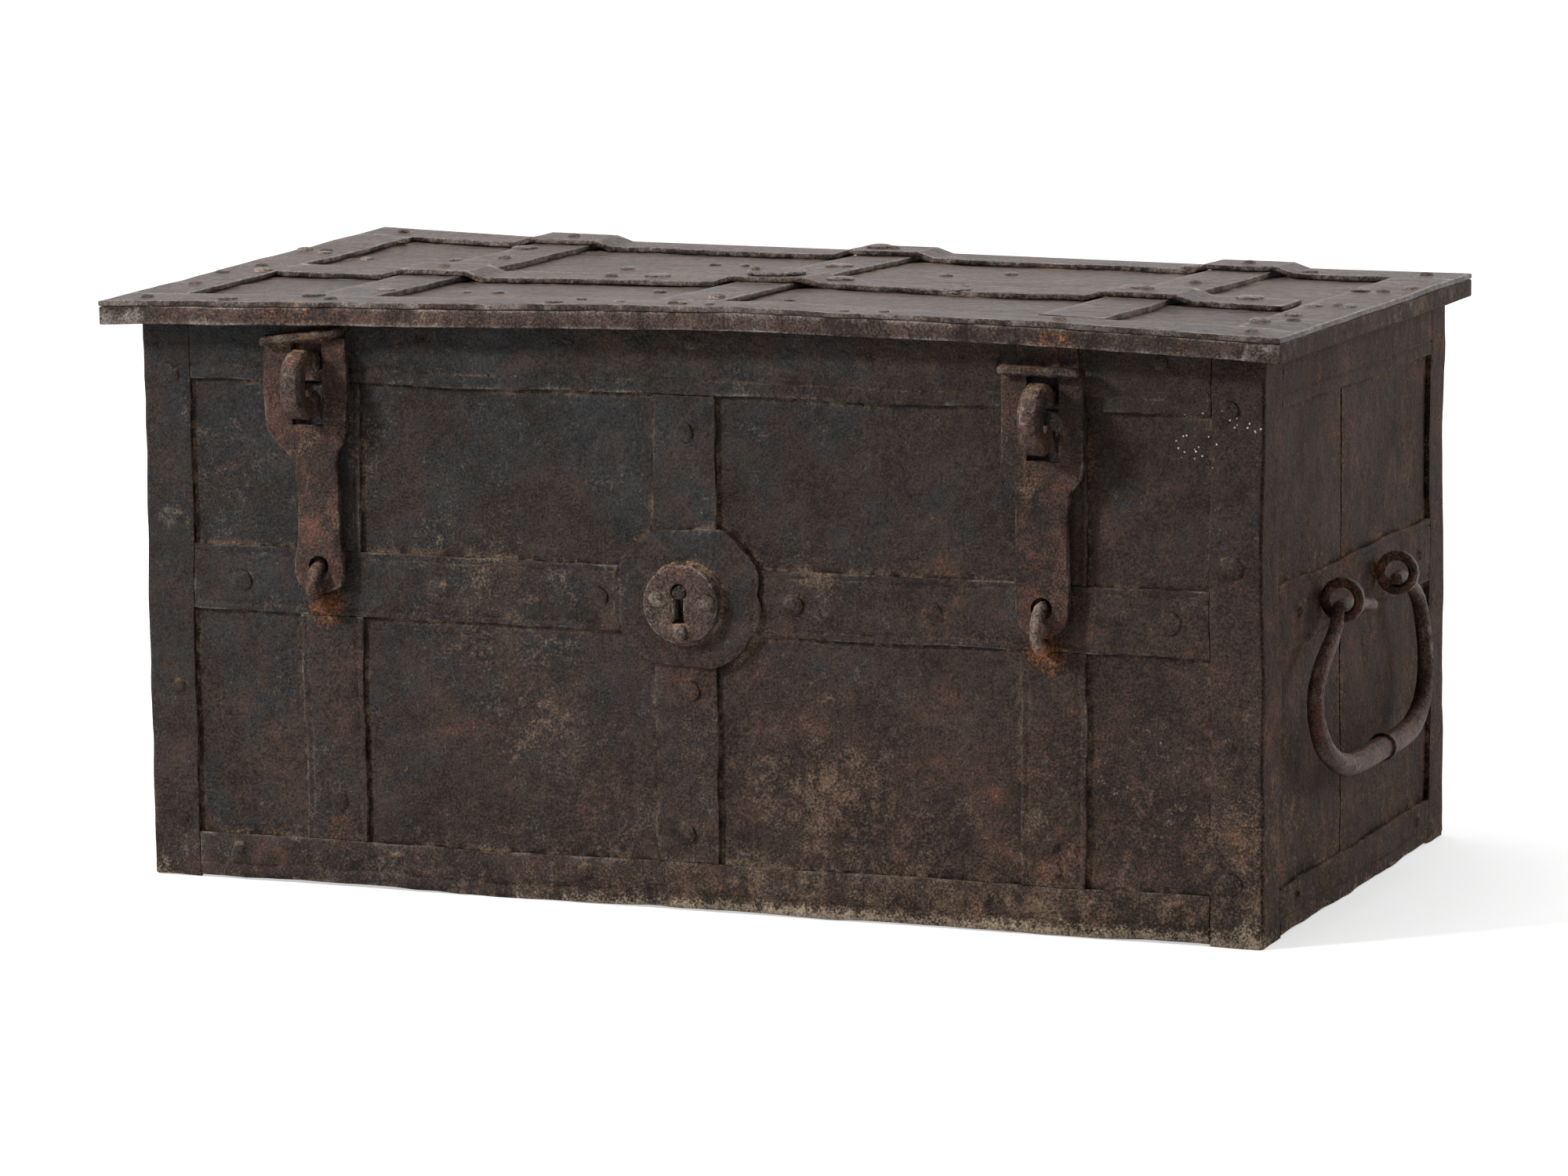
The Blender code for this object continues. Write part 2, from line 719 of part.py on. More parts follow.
def make_bands(box, legs, shanks):
    """Waist and foot bands, which butt against the corner irons."""
    middle = FOOT_LIFT + (FOOT_BAND_TOP - FOOT_LIFT) * 2 / 3
    reach = HALF - IRON_FRONT - GAP
    foot_xs = [share * HALF for share in FOOT_RIVET_SHARES]
    waist_xs = [share * HALF for share in WAIST_RIVET_SHARES]
    waist_xs.append(PLATE_RIVETS_OUT[0] - LOBED_HALF_W)
    waist_xs.append(PLATE_RIVETS_OUT[1] + LOBED_HALF_W)
    for word, low, high, xs, z in (
        ("waist", WAIST_LOW, WAIST_TOP, waist_xs, WAIST_Z),
        ("foot", FOOT_LIFT, FOOT_BAND_TOP, foot_xs, middle),
    ):
        for end, wall, inward in (("front", FRONT, 1), ("back", BACK, -1)):
            band = sorted((wall, wall + inward * STRAP))
            mesh = box_mesh(end, (-reach, band[0], low), (reach, band[1], high))
            made = box.add(word + "_band_" + end, mesh, IRON_DARK)
            if (word, end) == ("waist", "front"):
                box.cut(made, legs)
            rivet(box, made, [(x, wall, z) for x in xs], (0, -inward, 0))
        for side, end in ((-1, "left"), (1, "right")):
            outer = side * HALF
            band = sorted((outer, outer - side * STRAP))
            low_y, high_y = FRONT + IRON_SIDE + GAP, BACK - IRON_SIDE - GAP
            mesh = box_mesh(end, (band[0], low_y, low), (band[1], high_y, high))
            made = box.add(word + "_band_" + end, mesh, IRON)
            if word == "waist":
                box.cut(made, shanks)
            places = [(outer, FRONT + share * DEPTH, z) for share in SIDE_RIVET_SHARES]
            rivet(box, made, places, (side, 0, 0))


def make_uprights(box, legs):
    """Straps up the front, in two lengths that meet the waist band's edges."""
    for x, word in zip(UPRIGHT_X, ("left", "right")):
        for part, low, high in (
            ("lower", FOOT_BAND_TOP + GAP, WAIST_LOW - GAP),
            ("upper", WAIST_TOP + GAP, TOP_BAND_LOW - GAP),
        ):
            mesh = box_mesh(
                part,
                (x - UPRIGHT_W / 2, FRONT, low),
                (x + UPRIGHT_W / 2, FRONT + STRAP, high),
            )
            made = box.add("upright_" + word + "_" + part, mesh, IRON_RUST)
            if part == "lower":
                box.cut(made, legs)
                place = at_front(x, low + (high - low) * UPRIGHT_RIVET_SHARE)
                rivet(box, made, [place], (0, -1, 0))


def lobed_outline():
    """The plate's edge: a run of lobes, each a flat arc from one notch to the next."""
    points = []
    for index, (across, up, swell) in enumerate(LOBE_SHARES):
        following = LOBE_SHARES[(index + 1) % len(LOBE_SHARES)]
        start = Vector((across * LOBED_HALF_W, up * LOBED_HALF_H))
        end = Vector((following[0] * LOBED_HALF_W, following[1] * LOBED_HALF_H))
        way = end - start
        outwards = Vector((-way.y, way.x))
        steps = LOBE_STEPS if swell else 1
        for step in range(steps):
            share = step / steps
            at = start + way * share + outwards * swell * sin(pi * share) ** (3 / 4)
            points.append((at.x, WAIST_Z + at.y))
    return points


def keyhole_outline(x, z):
    """Round above, with a slot that ends in a flared foot."""
    slot = KEY_SLOT / 2
    start = -pi / 2 + slot / KEY_R
    bow = arc((x, z + KEY_LIFT), KEY_R, KEY_R, start, 2 * pi - 2 * slot / KEY_R, KEY_STEPS)
    foot = z - KEY_FOOT_DROP
    return bow + [
        (x - slot, foot + KEY_FOOT_H),
        (x - KEY_FOOT / 2, foot),
        (x + KEY_FOOT / 2, foot),
        (x + slot, foot + KEY_FOOT_H),
    ]


def make_centre_upright(box):
    """The middle strap and its lobed plate in one piece, let over the waist band."""
    mesh = box_mesh(
        "centre",
        (-CENTRE_W / 2, FRONT, FOOT_BAND_TOP + GAP),
        (CENTRE_W / 2, FRONT + STRAP, TOP_BAND_LOW - GAP),
    )
    made = box.add("upright_centre", mesh, IRON_DARK)
    face = FRONT - GAP - LOBED_T
    thick = FRONT + STRAP - face
    plate = outline_mesh("plate", lobed_outline(), thick, along_y(face + thick / 2))
    box.fuse(made, "lobed_plate", plate)
    channel = box_mesh(
        "channel",
        (-HALF, FRONT - GAP, WAIST_LOW - GAP),
        (HALF, FRONT + STRAP + OVERRUN, WAIST_TOP + GAP),
    )
    box.cut(made, box.helper("waist_channel", channel))
    slot = box_mesh(
        "slot",
        (BOSS_X - KEY_SLOT / 2, face - OVERRUN, BOSS_Z - KEY_FOOT_DROP),
        (BOSS_X + KEY_SLOT / 2, FRONT + OVERRUN, BOSS_Z + KEY_LIFT - KEY_POST_R),
    )
    box.cut(made, box.helper("false_slot", slot))
    post = rod_mesh(
        "post",
        (BOSS_X, FRONT - GAP - LOBED_T / 2, BOSS_Z + KEY_LIFT),
        (BOSS_X, face - BOSS_H + KEY_POST_SINK, BOSS_Z + KEY_LIFT),
        KEY_POST_R,
        KEY_STEPS,
    )
    box.fuse(made, "false_key_post", post)
    below = WAIST_LOW - FOOT_BAND_TOP
    above = TOP_BAND_LOW - WAIST_TOP
    places = [at_front(0.0, FOOT_BAND_TOP + share * below) for share in CENTRE_LOW_RIVET_SHARES]
    places.append(at_front(0.0, WAIST_TOP + CENTRE_HIGH_RIVET_SHARE * above))
    rivet(box, made, places, (0, -1, 0))


def make_boss(box):
    """The round false-keyhole cap."""
    seat = FRONT - 2 * GAP - LOBED_T
    profile = [(r * BOSS_R, h * BOSS_H) for r, h in BOSS_PROFILE_SHARES]
    profile.append((0.0, 0.0))
    turn = Matrix.Translation((BOSS_X, seat, BOSS_Z)) @ Matrix.Rotation(pi / 2, 4, "X")
    boss = box.add("false_keyhole_boss", turned_mesh("boss", profile, BOSS_STEPS, turn), IRON)
    hole = outline_mesh(
        "hole",
        keyhole_outline(BOSS_X, BOSS_Z),
        BOSS_H + 2 * OVERRUN,
        along_y(seat - BOSS_H / 2),
    )
    box.cut(boss, box.helper("false_keyhole", hole))
    face = seat - BOSS_H
    places = [(BOSS_X + x * BOSS_R, face, BOSS_Z + z * BOSS_R) for x, z in BOSS_RIVET_SHARES]
    rivet(box, boss, places, (0, -1, 0), BOSS_RIVET_R)
    return boss


def staple_leg_holes(box):
    """Cutters for the staples' legs, through everything behind them."""
    rods = []
    for _, side in SIDES:
        for z in (RING_Z[side] + RING_RS[side], RING_Z[side] - RING_RS[side]):
            start = (HASP_X[side], FRONT - OVERRUN, z)
            end = (HASP_X[side], FRONT + SHEET_IN + RING_TAIL, z)
            rods.append(rod_mesh("leg", start, end, RING_BAR / 2 + GAP))
    return box.helper("staple_leg_holes", joined("legs", rods))


def make_staples(box):
    """Ring staples: half a ring and two legs, driven through the waist band."""
    for word, side in SIDES:
        x, level, radius = HASP_X[side], RING_Z[side], RING_RS[side]
        inside = FRONT + SHEET_IN + RING_TAIL / 2
        path = [(inside, level + radius)]
        path += arc((RING_Y, level), radius, radius, pi / 2, pi, 8)
        path.append((inside, level - radius))
        curve = bpy.data.curves.new("staple", "CURVE")
        curve.dimensions = "3D"
        curve.bevel_depth = RING_BAR / 2
        curve.bevel_resolution = 3
        curve.use_fill_caps = True
        spline = curve.splines.new("POLY")
        spline.points.add(len(path) - 1)
        for point, (y, z) in zip(spline.points, path):
            point.co = (x, y, z, 1.0)
        mesh = mesh_from_curve("staple", curve, Matrix.Identity(4))
        smooth(box.add("hasp_staple_" + word, mesh, IRON_RUST, (x, FRONT, level)))


def hook_path(side):
    """The curl of a hook as (y, z) points, from its tab round to its tip."""
    turn = HOOK_END - HOOK_START
    centre = (HOOK_Y, HOOK_Z[side])
    curl = arc(centre, HOOK_HALF_Y, HOOK_HALF_Z, HOOK_START, turn, HOOK_STEPS)
    root = (FRONT - GAP - HOOK_TAB_T / 2, curl[0][1] + HOOK_TAB_T / 3)
    return [root] + curl


def hook_outline(side):
    path = hook_path(side)
    last = len(path) - 1
    grow = (HOOK_TIP_BAR - HOOK_BAR) / last
    widths = [HOOK_BAR + grow * index for index in range(last + 1)]
    widths[-1] = HOOK_TIP_BAR * 2 / 3
    return thickened(path, widths)


def slot_low(side):
    """How far above the hasp's pivot its slot starts, a little under the hook."""
    hook_low = HOOK_Z[side] - HOOK_HALF_Z - HOOK_BAR / 2
    return hook_low - SLOT_BELOW - RING_Z[side]


def slot_top(side):
    """How far from the hasp's pivot its slot has to reach to swing off the hook."""
    far = [
        hypot(y - RING_Y, z - RING_Z[side])
        for y, z in hook_outline(side)
        if y < HASP_BACK and z > RING_Z[side]
    ]
    return max(far) + SLOT_CLEAR


def hasp_outline(side, top):
    """Round at its eye, then a neck, and a wide plate that leans off the neck's line."""
    width, level, x = HASP_WS[side], RING_Z[side], HASP_X[side]
    start, end = HASP_LEAN_SHARES
    rows = []
    for across, up in HASP_OUTLINE_SHARES[side]:
        lean = HASP_LEANS[side] * min(max((up - start) / (end - start), 0.0), 1.0)
        rows.append((x + lean, across * width, level + up * top))
    rows += [(x, across * width, level - down * HASP_TIP) for across, down in HASP_END_SHARES]
    left = [(middle - half, z) for middle, half, z in rows]
    right = [(middle + half, z) for middle, half, z in rows[::-1]]
    return left + right


def make_hasps(box):
    """Hasps with a lower eye on the staple's ring and a slot over the hook."""
    for word, side in SIDES:
        x, level = HASP_X[side], RING_Z[side]
        tilt = tan(HASP_TILTS[side]) * SLOT_W / 2
        lip_low = slot_top(side) + abs(tilt)
        top = lip_low + HASP_LIP_H / 2
        mesh = outline_mesh("hasp", hasp_outline(side, top), HASP_T, along_y(RING_Y))
        hasp = box.add("hasp_" + word, mesh, IRON_RUST, (x, RING_Y, level))
        rounded(hasp, HASP_T / 6)
        half = HASP_WS[side] / 2
        lip = box_mesh(
            "lip",
            (-half, HASP_FACE - HASP_LIP_OUT, -HASP_LIP_H / 2),
            (half, HASP_BACK - HASP_T / 3, HASP_LIP_H / 2),
        )
        middle = (x + HASP_LEANS[side], 0.0, level + lip_low + HASP_LIP_H / 2)
        turn = Matrix.Rotation(-HASP_TILTS[side], 4, "Y")
        lip.transform(Matrix.Translation(middle) @ turn)
        tool = box.helper("hasp_lip_" + word, lip)
        rounded(tool, LIP_EDGE)
        box.boolean(hasp, tool, "UNION")
        slot_x = x + (HASP_LEANS[side] + HOOK_LEANS[side]) / 2
        slot = box_mesh(
            "slot",
            (slot_x - SLOT_W / 2, HASP_FACE - OVERRUN, level + slot_low(side)),
            (slot_x + SLOT_W / 2, HASP_BACK + OVERRUN, level + slot_top(side)),
        )
        eye = rod_mesh(
            "eye",
            (x, HASP_FACE - OVERRUN, level + RING_RS[side]),
            (x, HASP_BACK + OVERRUN, level + RING_RS[side]),
            HASP_EYE_R,
            EYE_STEPS,
        )
        box.cut(hasp, box.helper("hasp_slot_" + word, slot))
        box.cut(hasp, box.helper("hasp_eye_" + word, eye))


def make_hooks(box):
    """The lid's hooks: a foot under the lid, a tab down the front and a curled eye."""
    for word, side in SIDES:
        x = HOOK_X[side]
        edges = (x - HOOK_TAB_W / 2, x + HOOK_TAB_W / 2)
        rise = min(lid_lift(edge, FRONT - HOOK_FOOT) for edge in edges)
        seat = PLATE_LOW - GAP + rise
        tab = box_mesh(
            "tab",
            (edges[0], FRONT - GAP - HOOK_TAB_T, RIM_Z - HOOK_TAB_H),
            (edges[1], FRONT - GAP, seat),
        )
        hook = box.add("lid_hook_" + word, tab, IRON_RUST, (x, FRONT, HOOK_Z[side]))
        foot = box_mesh(
            "foot",
            (edges[0], FRONT - HOOK_FOOT, seat - HOOK_TAB_T),
            (edges[1], FRONT - GAP, seat),
        )
        box.fuse(hook, "hook_foot_" + word, foot)
        curl = outline_mesh("curl", hook_outline(side), HOOK_W, along_x(x))
        tool = box.helper("hook_curl_" + word, curl)
        rounded(tool, HOOK_BAR / 5)
        box.boolean(hook, tool, "UNION")


def eye_places():
    return [FRONT + EYE_MID_Y + half * EYE_SPACING / 2 for half in (-1, 1)]


def eye_shank_holes(box):
    """Cutters for the shanks of the handles' eyes."""
    rods = []
    for side in (-1, 1):
        for y in eye_places():
            start = (side * (HALF + OVERRUN), y, EYE_Z)
            end = (side * (HALF - SHEET_IN - EYE_TAIL), y, EYE_Z)
            rods.append(rod_mesh("shank", start, end, EYE_SHANK_R + GAP))
    return box.helper("eye_shank_holes", joined("shanks", rods))


def make_eyes(box):
    """Forged eyes, whose shanks go through the waist band and the side sheet."""
    edge = EYE_EDGE
    half = EYE_T / 2
    profile = [
        (EYE_HOLE_R, half - edge),
        (EYE_HOLE_R + edge, half),
        (EYE_R - edge, half),
        (EYE_R, half - edge),
        (EYE_R, edge - half),
        (EYE_R - edge, -half),
        (EYE_HOLE_R + edge, -half),
        (EYE_HOLE_R, edge - half),
        (EYE_HOLE_R, half - edge),
    ]
    for side, word in ((-1, "left"), (1, "right")):
        for y, end in zip(eye_places(), ("front", "rear")):
            x = side * (HALF + GAP + EYE_R)
            turn = Matrix.Translation((x, y, EYE_Z)) @ Matrix.Rotation(pi / 2, 4, "X")
            ring = turned_mesh("eye", profile, EYE_STEPS, turn)
            eye = box.add("handle_eye_" + word + "_" + end, ring, IRON, (x, y, EYE_Z))
            shank = rod_mesh(
                "shank",
                (side * (HALF + EYE_R - EYE_HOLE_R - EYE_EDGE), y, EYE_Z),
                (side * (HALF - SHEET_IN - EYE_TAIL / 2), y, EYE_Z),
                EYE_SHANK_R,
            )
            box.fuse(eye, "eye_shank_" + word + "_" + end, shank)
            smooth(eye)


def handle_axis():
    """Height of the handle's ends, which hang at the bottom of the eyes' holes."""
    return EYE_Z - (EYE_HOLE_R - HANDLE_END_R - RUNNING)


def handle_points():
    """(y, z, radius, straight) along a handle, from the front peg's tip to the rear peg's."""
    middle = FRONT + EYE_MID_Y
    level = handle_axis()
    front, rear = eye_places()
    overhang = (HANDLE_W - EYE_SPACING) / 2 - PEG_STRAIGHT
    swell = HANDLE_GRIP_R - HANDLE_END_R
    ends = HANDLE_END_R
    points = []
    for across, down in PEG_TIP_SHARES:
        points.append((middle + across * HANDLE_W, level - down * HANDLE_DROP, ends, ""))
    points.append((front + PEG_STRAIGHT, level, ends, "next"))
    points.append((front - PEG_STRAIGHT, level, ends, "last"))
    for out, down, share in FRONT_ARM_SHARES:
        y = front - PEG_STRAIGHT - out * overhang
        points.append((y, level - down * HANDLE_DROP, ends + share * swell, ""))
    for across, down, share in GRIP_SHARES:
        y = middle + across * HANDLE_W
        points.append((y, level - down * HANDLE_DROP, ends + share * swell, ""))
    for out, down, share in REAR_ARM_SHARES:
        y = rear + PEG_STRAIGHT + out * overhang
        points.append((y, level - down * HANDLE_DROP, ends + share * swell, ""))
    points.append((rear + PEG_STRAIGHT, level, ends, "next"))
    points.append((rear - PEG_LEFT, level, ends, "last"))
    return points


def make_handles(box):
    """Wide drop handles, thickest in the grip, with in-turned ends and a worn collar."""
    for side, word in ((-1, "left"), (1, "right")):
        x = side * (HALF + GAP + EYE_R)
        points = handle_points()
        curve = bpy.data.curves.new("handle", "CURVE")
        curve.dimensions = "3D"
        curve.resolution_u = HANDLE_STEPS
        curve.bevel_depth = HANDLE_GRIP_R
        curve.bevel_resolution = 3
        curve.use_fill_caps = True
        spline = curve.splines.new("BEZIER")
        spline.bezier_points.add(len(points) - 1)
        for knot, (y, z, radius, straight) in zip(spline.bezier_points, points):
            knot.co = (x, y, z)
            knot.radius = radius / HANDLE_GRIP_R
            knot.handle_left_type = "VECTOR" if straight == "last" else "AUTO"
            knot.handle_right_type = "VECTOR" if straight == "next" else "AUTO"
        mesh = mesh_from_curve("handle", curve, Matrix.Identity(4))
        pivot = (x, FRONT + EYE_MID_Y, handle_axis())
        handle = box.add("handle_" + word, mesh, IRON, pivot)
        at = FRONT + EYE_MID_Y + COLLAR_SHARE * HANDLE_W
        low = handle_axis() - HANDLE_DROP
        collar = rod_mesh(
            "collar",
            (x, at - HANDLE_COLLAR_W / 2, low),
            (x, at + HANDLE_COLLAR_W / 2, low),
            HANDLE_COLLAR_R,
        )
        box.fuse(handle, "handle_collar_" + word, collar)
        smooth(handle)


def lid_lift(x, y):
    """How far the old lid has sprung up at a place, as a ruled surface from front to back."""
    share = min(max(x / LID_HALF, -1.0), 1.0)
    run = min(max((y - LID_Y) / (BACK - LID_Y), 0.0), 1.0)
    for index in range(len(SPRING_X_SHARES) - 1):
        low, high = SPRING_X_SHARES[index : index + 2]
        if share <= high:
            break
    part = (share - low) / (high - low)
    ends = [
        table[index] + (table[index + 1] - table[index]) * part
        for table in (SPRING_FRONT_SHARES, SPRING_BACK_SHARES)
    ]
    return LID_SPRING * (ends[0] + (ends[1] - ends[0]) * run)


def sprung(mesh):
    """Cuts a mesh at the lines where the lid bends, then moves it with the lid."""
    bm = bmesh.new()
    bm.from_mesh(mesh)
    planes = [((share * LID_HALF, 0, 0), (1, 0, 0)) for share in SPRING_X_SHARES[1:-1]]
    span = BACK - LID_Y
    rows = range(1, SPRING_ROWS)
    planes += [((0, LID_Y + span * row / SPRING_ROWS, 0), (0, 1, 0)) for row in rows]
    for at, normal in planes:
        parts = bm.verts[:] + bm.edges[:] + bm.faces[:]
        bmesh.ops.bisect_plane(bm, geom=parts, dist=WELD, plane_co=at, plane_no=normal)
    for vertex in bm.verts:
        if vertex.co.y < BACK + GAP / 2 or vertex.co.z > PLATE_TOP + GAP / 2:
            vertex.co.z += lid_lift(vertex.co.x, vertex.co.y)
    bmesh.ops.triangulate(bm, faces=[face for face in bm.faces if len(face.verts) > 3])
    bm.to_mesh(mesh)
    bm.free()
    return mesh


def hump_path(start, end, crossings):
    """A strap's middle along one line, with a joggle over each strap that it crosses."""
    level = STRAP_LOW + LID_STRAP / 2
    flat = LID_STRAP_W / 2 + HUMP_FLAT
    path = [(start, level)]
    for at in crossings:
        path += [
            (at - flat - HUMP_RAMP, level),
            (at - flat, level + HUMP),
            (at + flat, level + HUMP),
            (at + flat + HUMP_RAMP, level),
        ]
    return path + [(end, level)]


def lid_keyhole(box):
    """A cutter for the key's way in, from above the lid to below the lock's hub."""
    x, y = KEY.x, KEY.y
    start = -pi / 2 + LID_KEY_SLOT / 2 / LID_KEY_R
    turn = 2 * pi - LID_KEY_SLOT / LID_KEY_R
    outline = arc((x, y), LID_KEY_R, LID_KEY_R, start, turn, KEY_STEPS)
    outline += [
        (x - LID_KEY_SLOT / 2, y - LID_KEY_REACH),
        (x + LID_KEY_SLOT / 2, y - LID_KEY_REACH),
    ]
    low, high = HUB_LOW - OVERRUN, STRAP_TOP + HUMP + LID_SPRING + OVERRUN
    mesh = outline_mesh("keyhole", outline, high - low, along_z((low + high) / 2))
    return box.helper("lid_keyhole", mesh)


def make_lid_sheet(box, keyhole):
    inner = LID_HALF - SKIRT_T - GAP
    mesh = box_mesh(
        "lid", (-inner, LID_Y + SKIRT_T + GAP, PLATE_LOW), (inner, BACK, PLATE_TOP)
    )
    box.cut(box.add("lid_sheet", sprung(mesh), IRON_WORN), keyhole)


def make_skirt(box):
    """A bar on edge round the lid's front and sides."""
    outer, inner = LID_HALF, LID_HALF - SKIRT_T
    outline = [
        (-outer, BACK),
        (-outer, LID_Y),
        (outer, LID_Y),
        (outer, BACK),
        (inner, BACK),
        (inner, LID_Y + SKIRT_T),
        (-inner, LID_Y + SKIRT_T),
        (-inner, BACK),
    ]
    mesh = outline_mesh("skirt", outline, SKIRT_H, along_z(PLATE_TOP - SKIRT_H / 2))
    box.add("lid_skirt", sprung(mesh), IRON_RUST)


def on_lid(x, y, level=STRAP_TOP):
    return (x, y, level + lid_lift(x, y))


def make_frame_straps(box):
    """Flat straps round the lid's edge. The back one is joggled over the cross straps."""
    front = box_mesh(
        "front", (-LID_HALF, LID_Y, STRAP_LOW), (LID_HALF, STRAP_REAR, STRAP_TOP)
    )
    front = box.add("lid_strap_front", sprung(front), IRON_WORN)
    middle = LID_Y + LID_STRAP_W / 2
    reach = LID_HALF - LID_CORNER_RIVET
    places = [on_lid(x, middle) for x in (-reach, *LID_STRAP_X, reach)]
    rivet(box, front, places, (0, 0, 1))
    for side, word in ((-1, "left"), (1, "right")):
        edges = sorted((side * LID_HALF, side * (LID_HALF - LID_STRAP_W)))
        low_y, high_y = STRAP_REAR + GAP, BACK - LID_STRAP_W - GAP
        mesh = box_mesh(word, (edges[0], low_y, STRAP_LOW), (edges[1], high_y, STRAP_TOP))
        strap = box.add("lid_strap_" + word, sprung(mesh), IRON_WORN)
        x = sum(edges) / 2
        steps = (-1, 0, 1)
        places = [on_lid(x, KEY.y + step * LID_RIVET_STEP) for step in steps]
        rivet(box, strap, places, (0, 0, 1))
    path = hump_path(-LID_HALF, LID_HALF, LID_STRAP_X)
    outline = thickened(path, LID_STRAP)
    middle = BACK - LID_STRAP_W / 2
    mesh = outline_mesh("back", outline, LID_STRAP_W, along_y(middle))
    back = box.add("lid_strap_back", sprung(mesh), IRON_WORN)
    places = [on_lid(x, middle, STRAP_TOP + HUMP) for x in LID_STRAP_X]
    places += [on_lid(x, middle) for x in (-reach, reach)]
    rivet(box, back, places, (0, 0, 1))


def make_cross_straps(box, keyhole):
    """Straps from front to back. The outer two end in the lid's rolled hinge knuckles."""
    level = STRAP_LOW + LID_STRAP / 2
    for x, word in zip(LID_STRAP_X, ("left", "centre", "right")):
        path = [(STRAP_REAR + GAP, level)]
        if word == "centre":
            path.append((BACK, level))
        else:
            path.append((BACK + GAP + LID_STRAP / 2, level))
            centre = (HINGE_Y, HINGE_Z)
            path += arc(centre, ROLL_R, ROLL_R, pi, ROLL_TURN, ROLL_STEPS)
        mesh = outline_mesh(word, thickened(path, LID_STRAP), LID_STRAP_W, along_x(x))
        strap = box.add("lid_cross_strap_" + word, sprung(mesh), IRON_WORN)
        if word == "centre":
            box.cut(strap, keyhole)
        else:
            for side in (-1, 1):
                inner = x + side * LID_KNUCKLE_W / 2
                outer = x + side * (LID_STRAP_W / 2 + OVERRUN)
                low = (min(inner, outer), BACK + GAP / 2, HINGE_Z - KNUCKLE_R - OVERRUN)
                high = (max(inner, outer), BACK + 3 * KNUCKLE_R, STRAP_TOP + 2 * LID_SPRING)
                side_word = "left" if side < 0 else "right"
                tool = box_mesh("ear", low, high)
                box.cut(strap, box.helper("ear_" + word + "_" + side_word, tool))
        places = [on_lid(x, FRONT + LONG_STRAP_Y + LID_RIVET_STEP)]
        rivet(box, strap, places, (0, 0, 1))


def make_long_strap(box, keyhole):
    """The strap along the lid, joggled over the three cross straps."""
    reach = LID_HALF - LID_STRAP_W - GAP
    path = hump_path(-reach, reach - LONG_STRAP_SHORT, LID_STRAP_X)
    mesh = outline_mesh("long", thickened(path, LID_STRAP), LID_STRAP_W, along_y(KEY.y))
    strap = box.add("lid_strap_long", sprung(mesh), IRON_WORN)
    pivot_x = KEY.x - COVER_PIVOT
    top = STRAP_TOP + HUMP + lid_lift(KEY.x, KEY.y)
    hole = rod_mesh(
        "pivot",
        (pivot_x, KEY.y, top - LID_STRAP - LID_SPRING),
        (pivot_x, KEY.y, top + OVERRUN),
        COVER_PIN_R + GAP,
    )
    box.cut(strap, keyhole, box.helper("cover_pivot_hole", hole))
    places = [on_lid(x, KEY.y, STRAP_TOP + HUMP) for x in LID_STRAP_X[::2]]
    places += [on_lid(x / 2, KEY.y) for x in LID_STRAP_X[::2]]
    rivet(box, strap, places, (0, 0, 1))


def make_cover(box):
    """The disc over the lid's keyhole, which swings aside on a rivet near its edge."""
    edges = (KEY.x - COVER_PIVOT - COVER_R, KEY.x + COVER_R)
    low = STRAP_TOP + HUMP + GAP + max(lid_lift(x, KEY.y) for x in edges)
    mesh = rod_mesh(
        "cover", (KEY.x, KEY.y, low), (KEY.x, KEY.y, low + COVER_T), COVER_R, COVER_STEPS
    )
    pivot = Vector((KEY.x - COVER_PIVOT, KEY.y, low))
    cover = box.add("keyhole_cover", mesh, IRON, pivot)
    rounded(cover, COVER_T / 4)
    pin = rod_mesh(
        "pin",
        pivot + Vector((0, 0, COVER_T / 2)),
        pivot - Vector((0, 0, LID_STRAP - GAP)),
        COVER_PIN_R,
    )
    box.fuse(cover, "cover_pin", pin)
    rivet(box, cover, [pivot + Vector((0, 0, COVER_T))], (0, 0, 1), COVER_PIN_R * 4 / 3)
    smooth(cover)


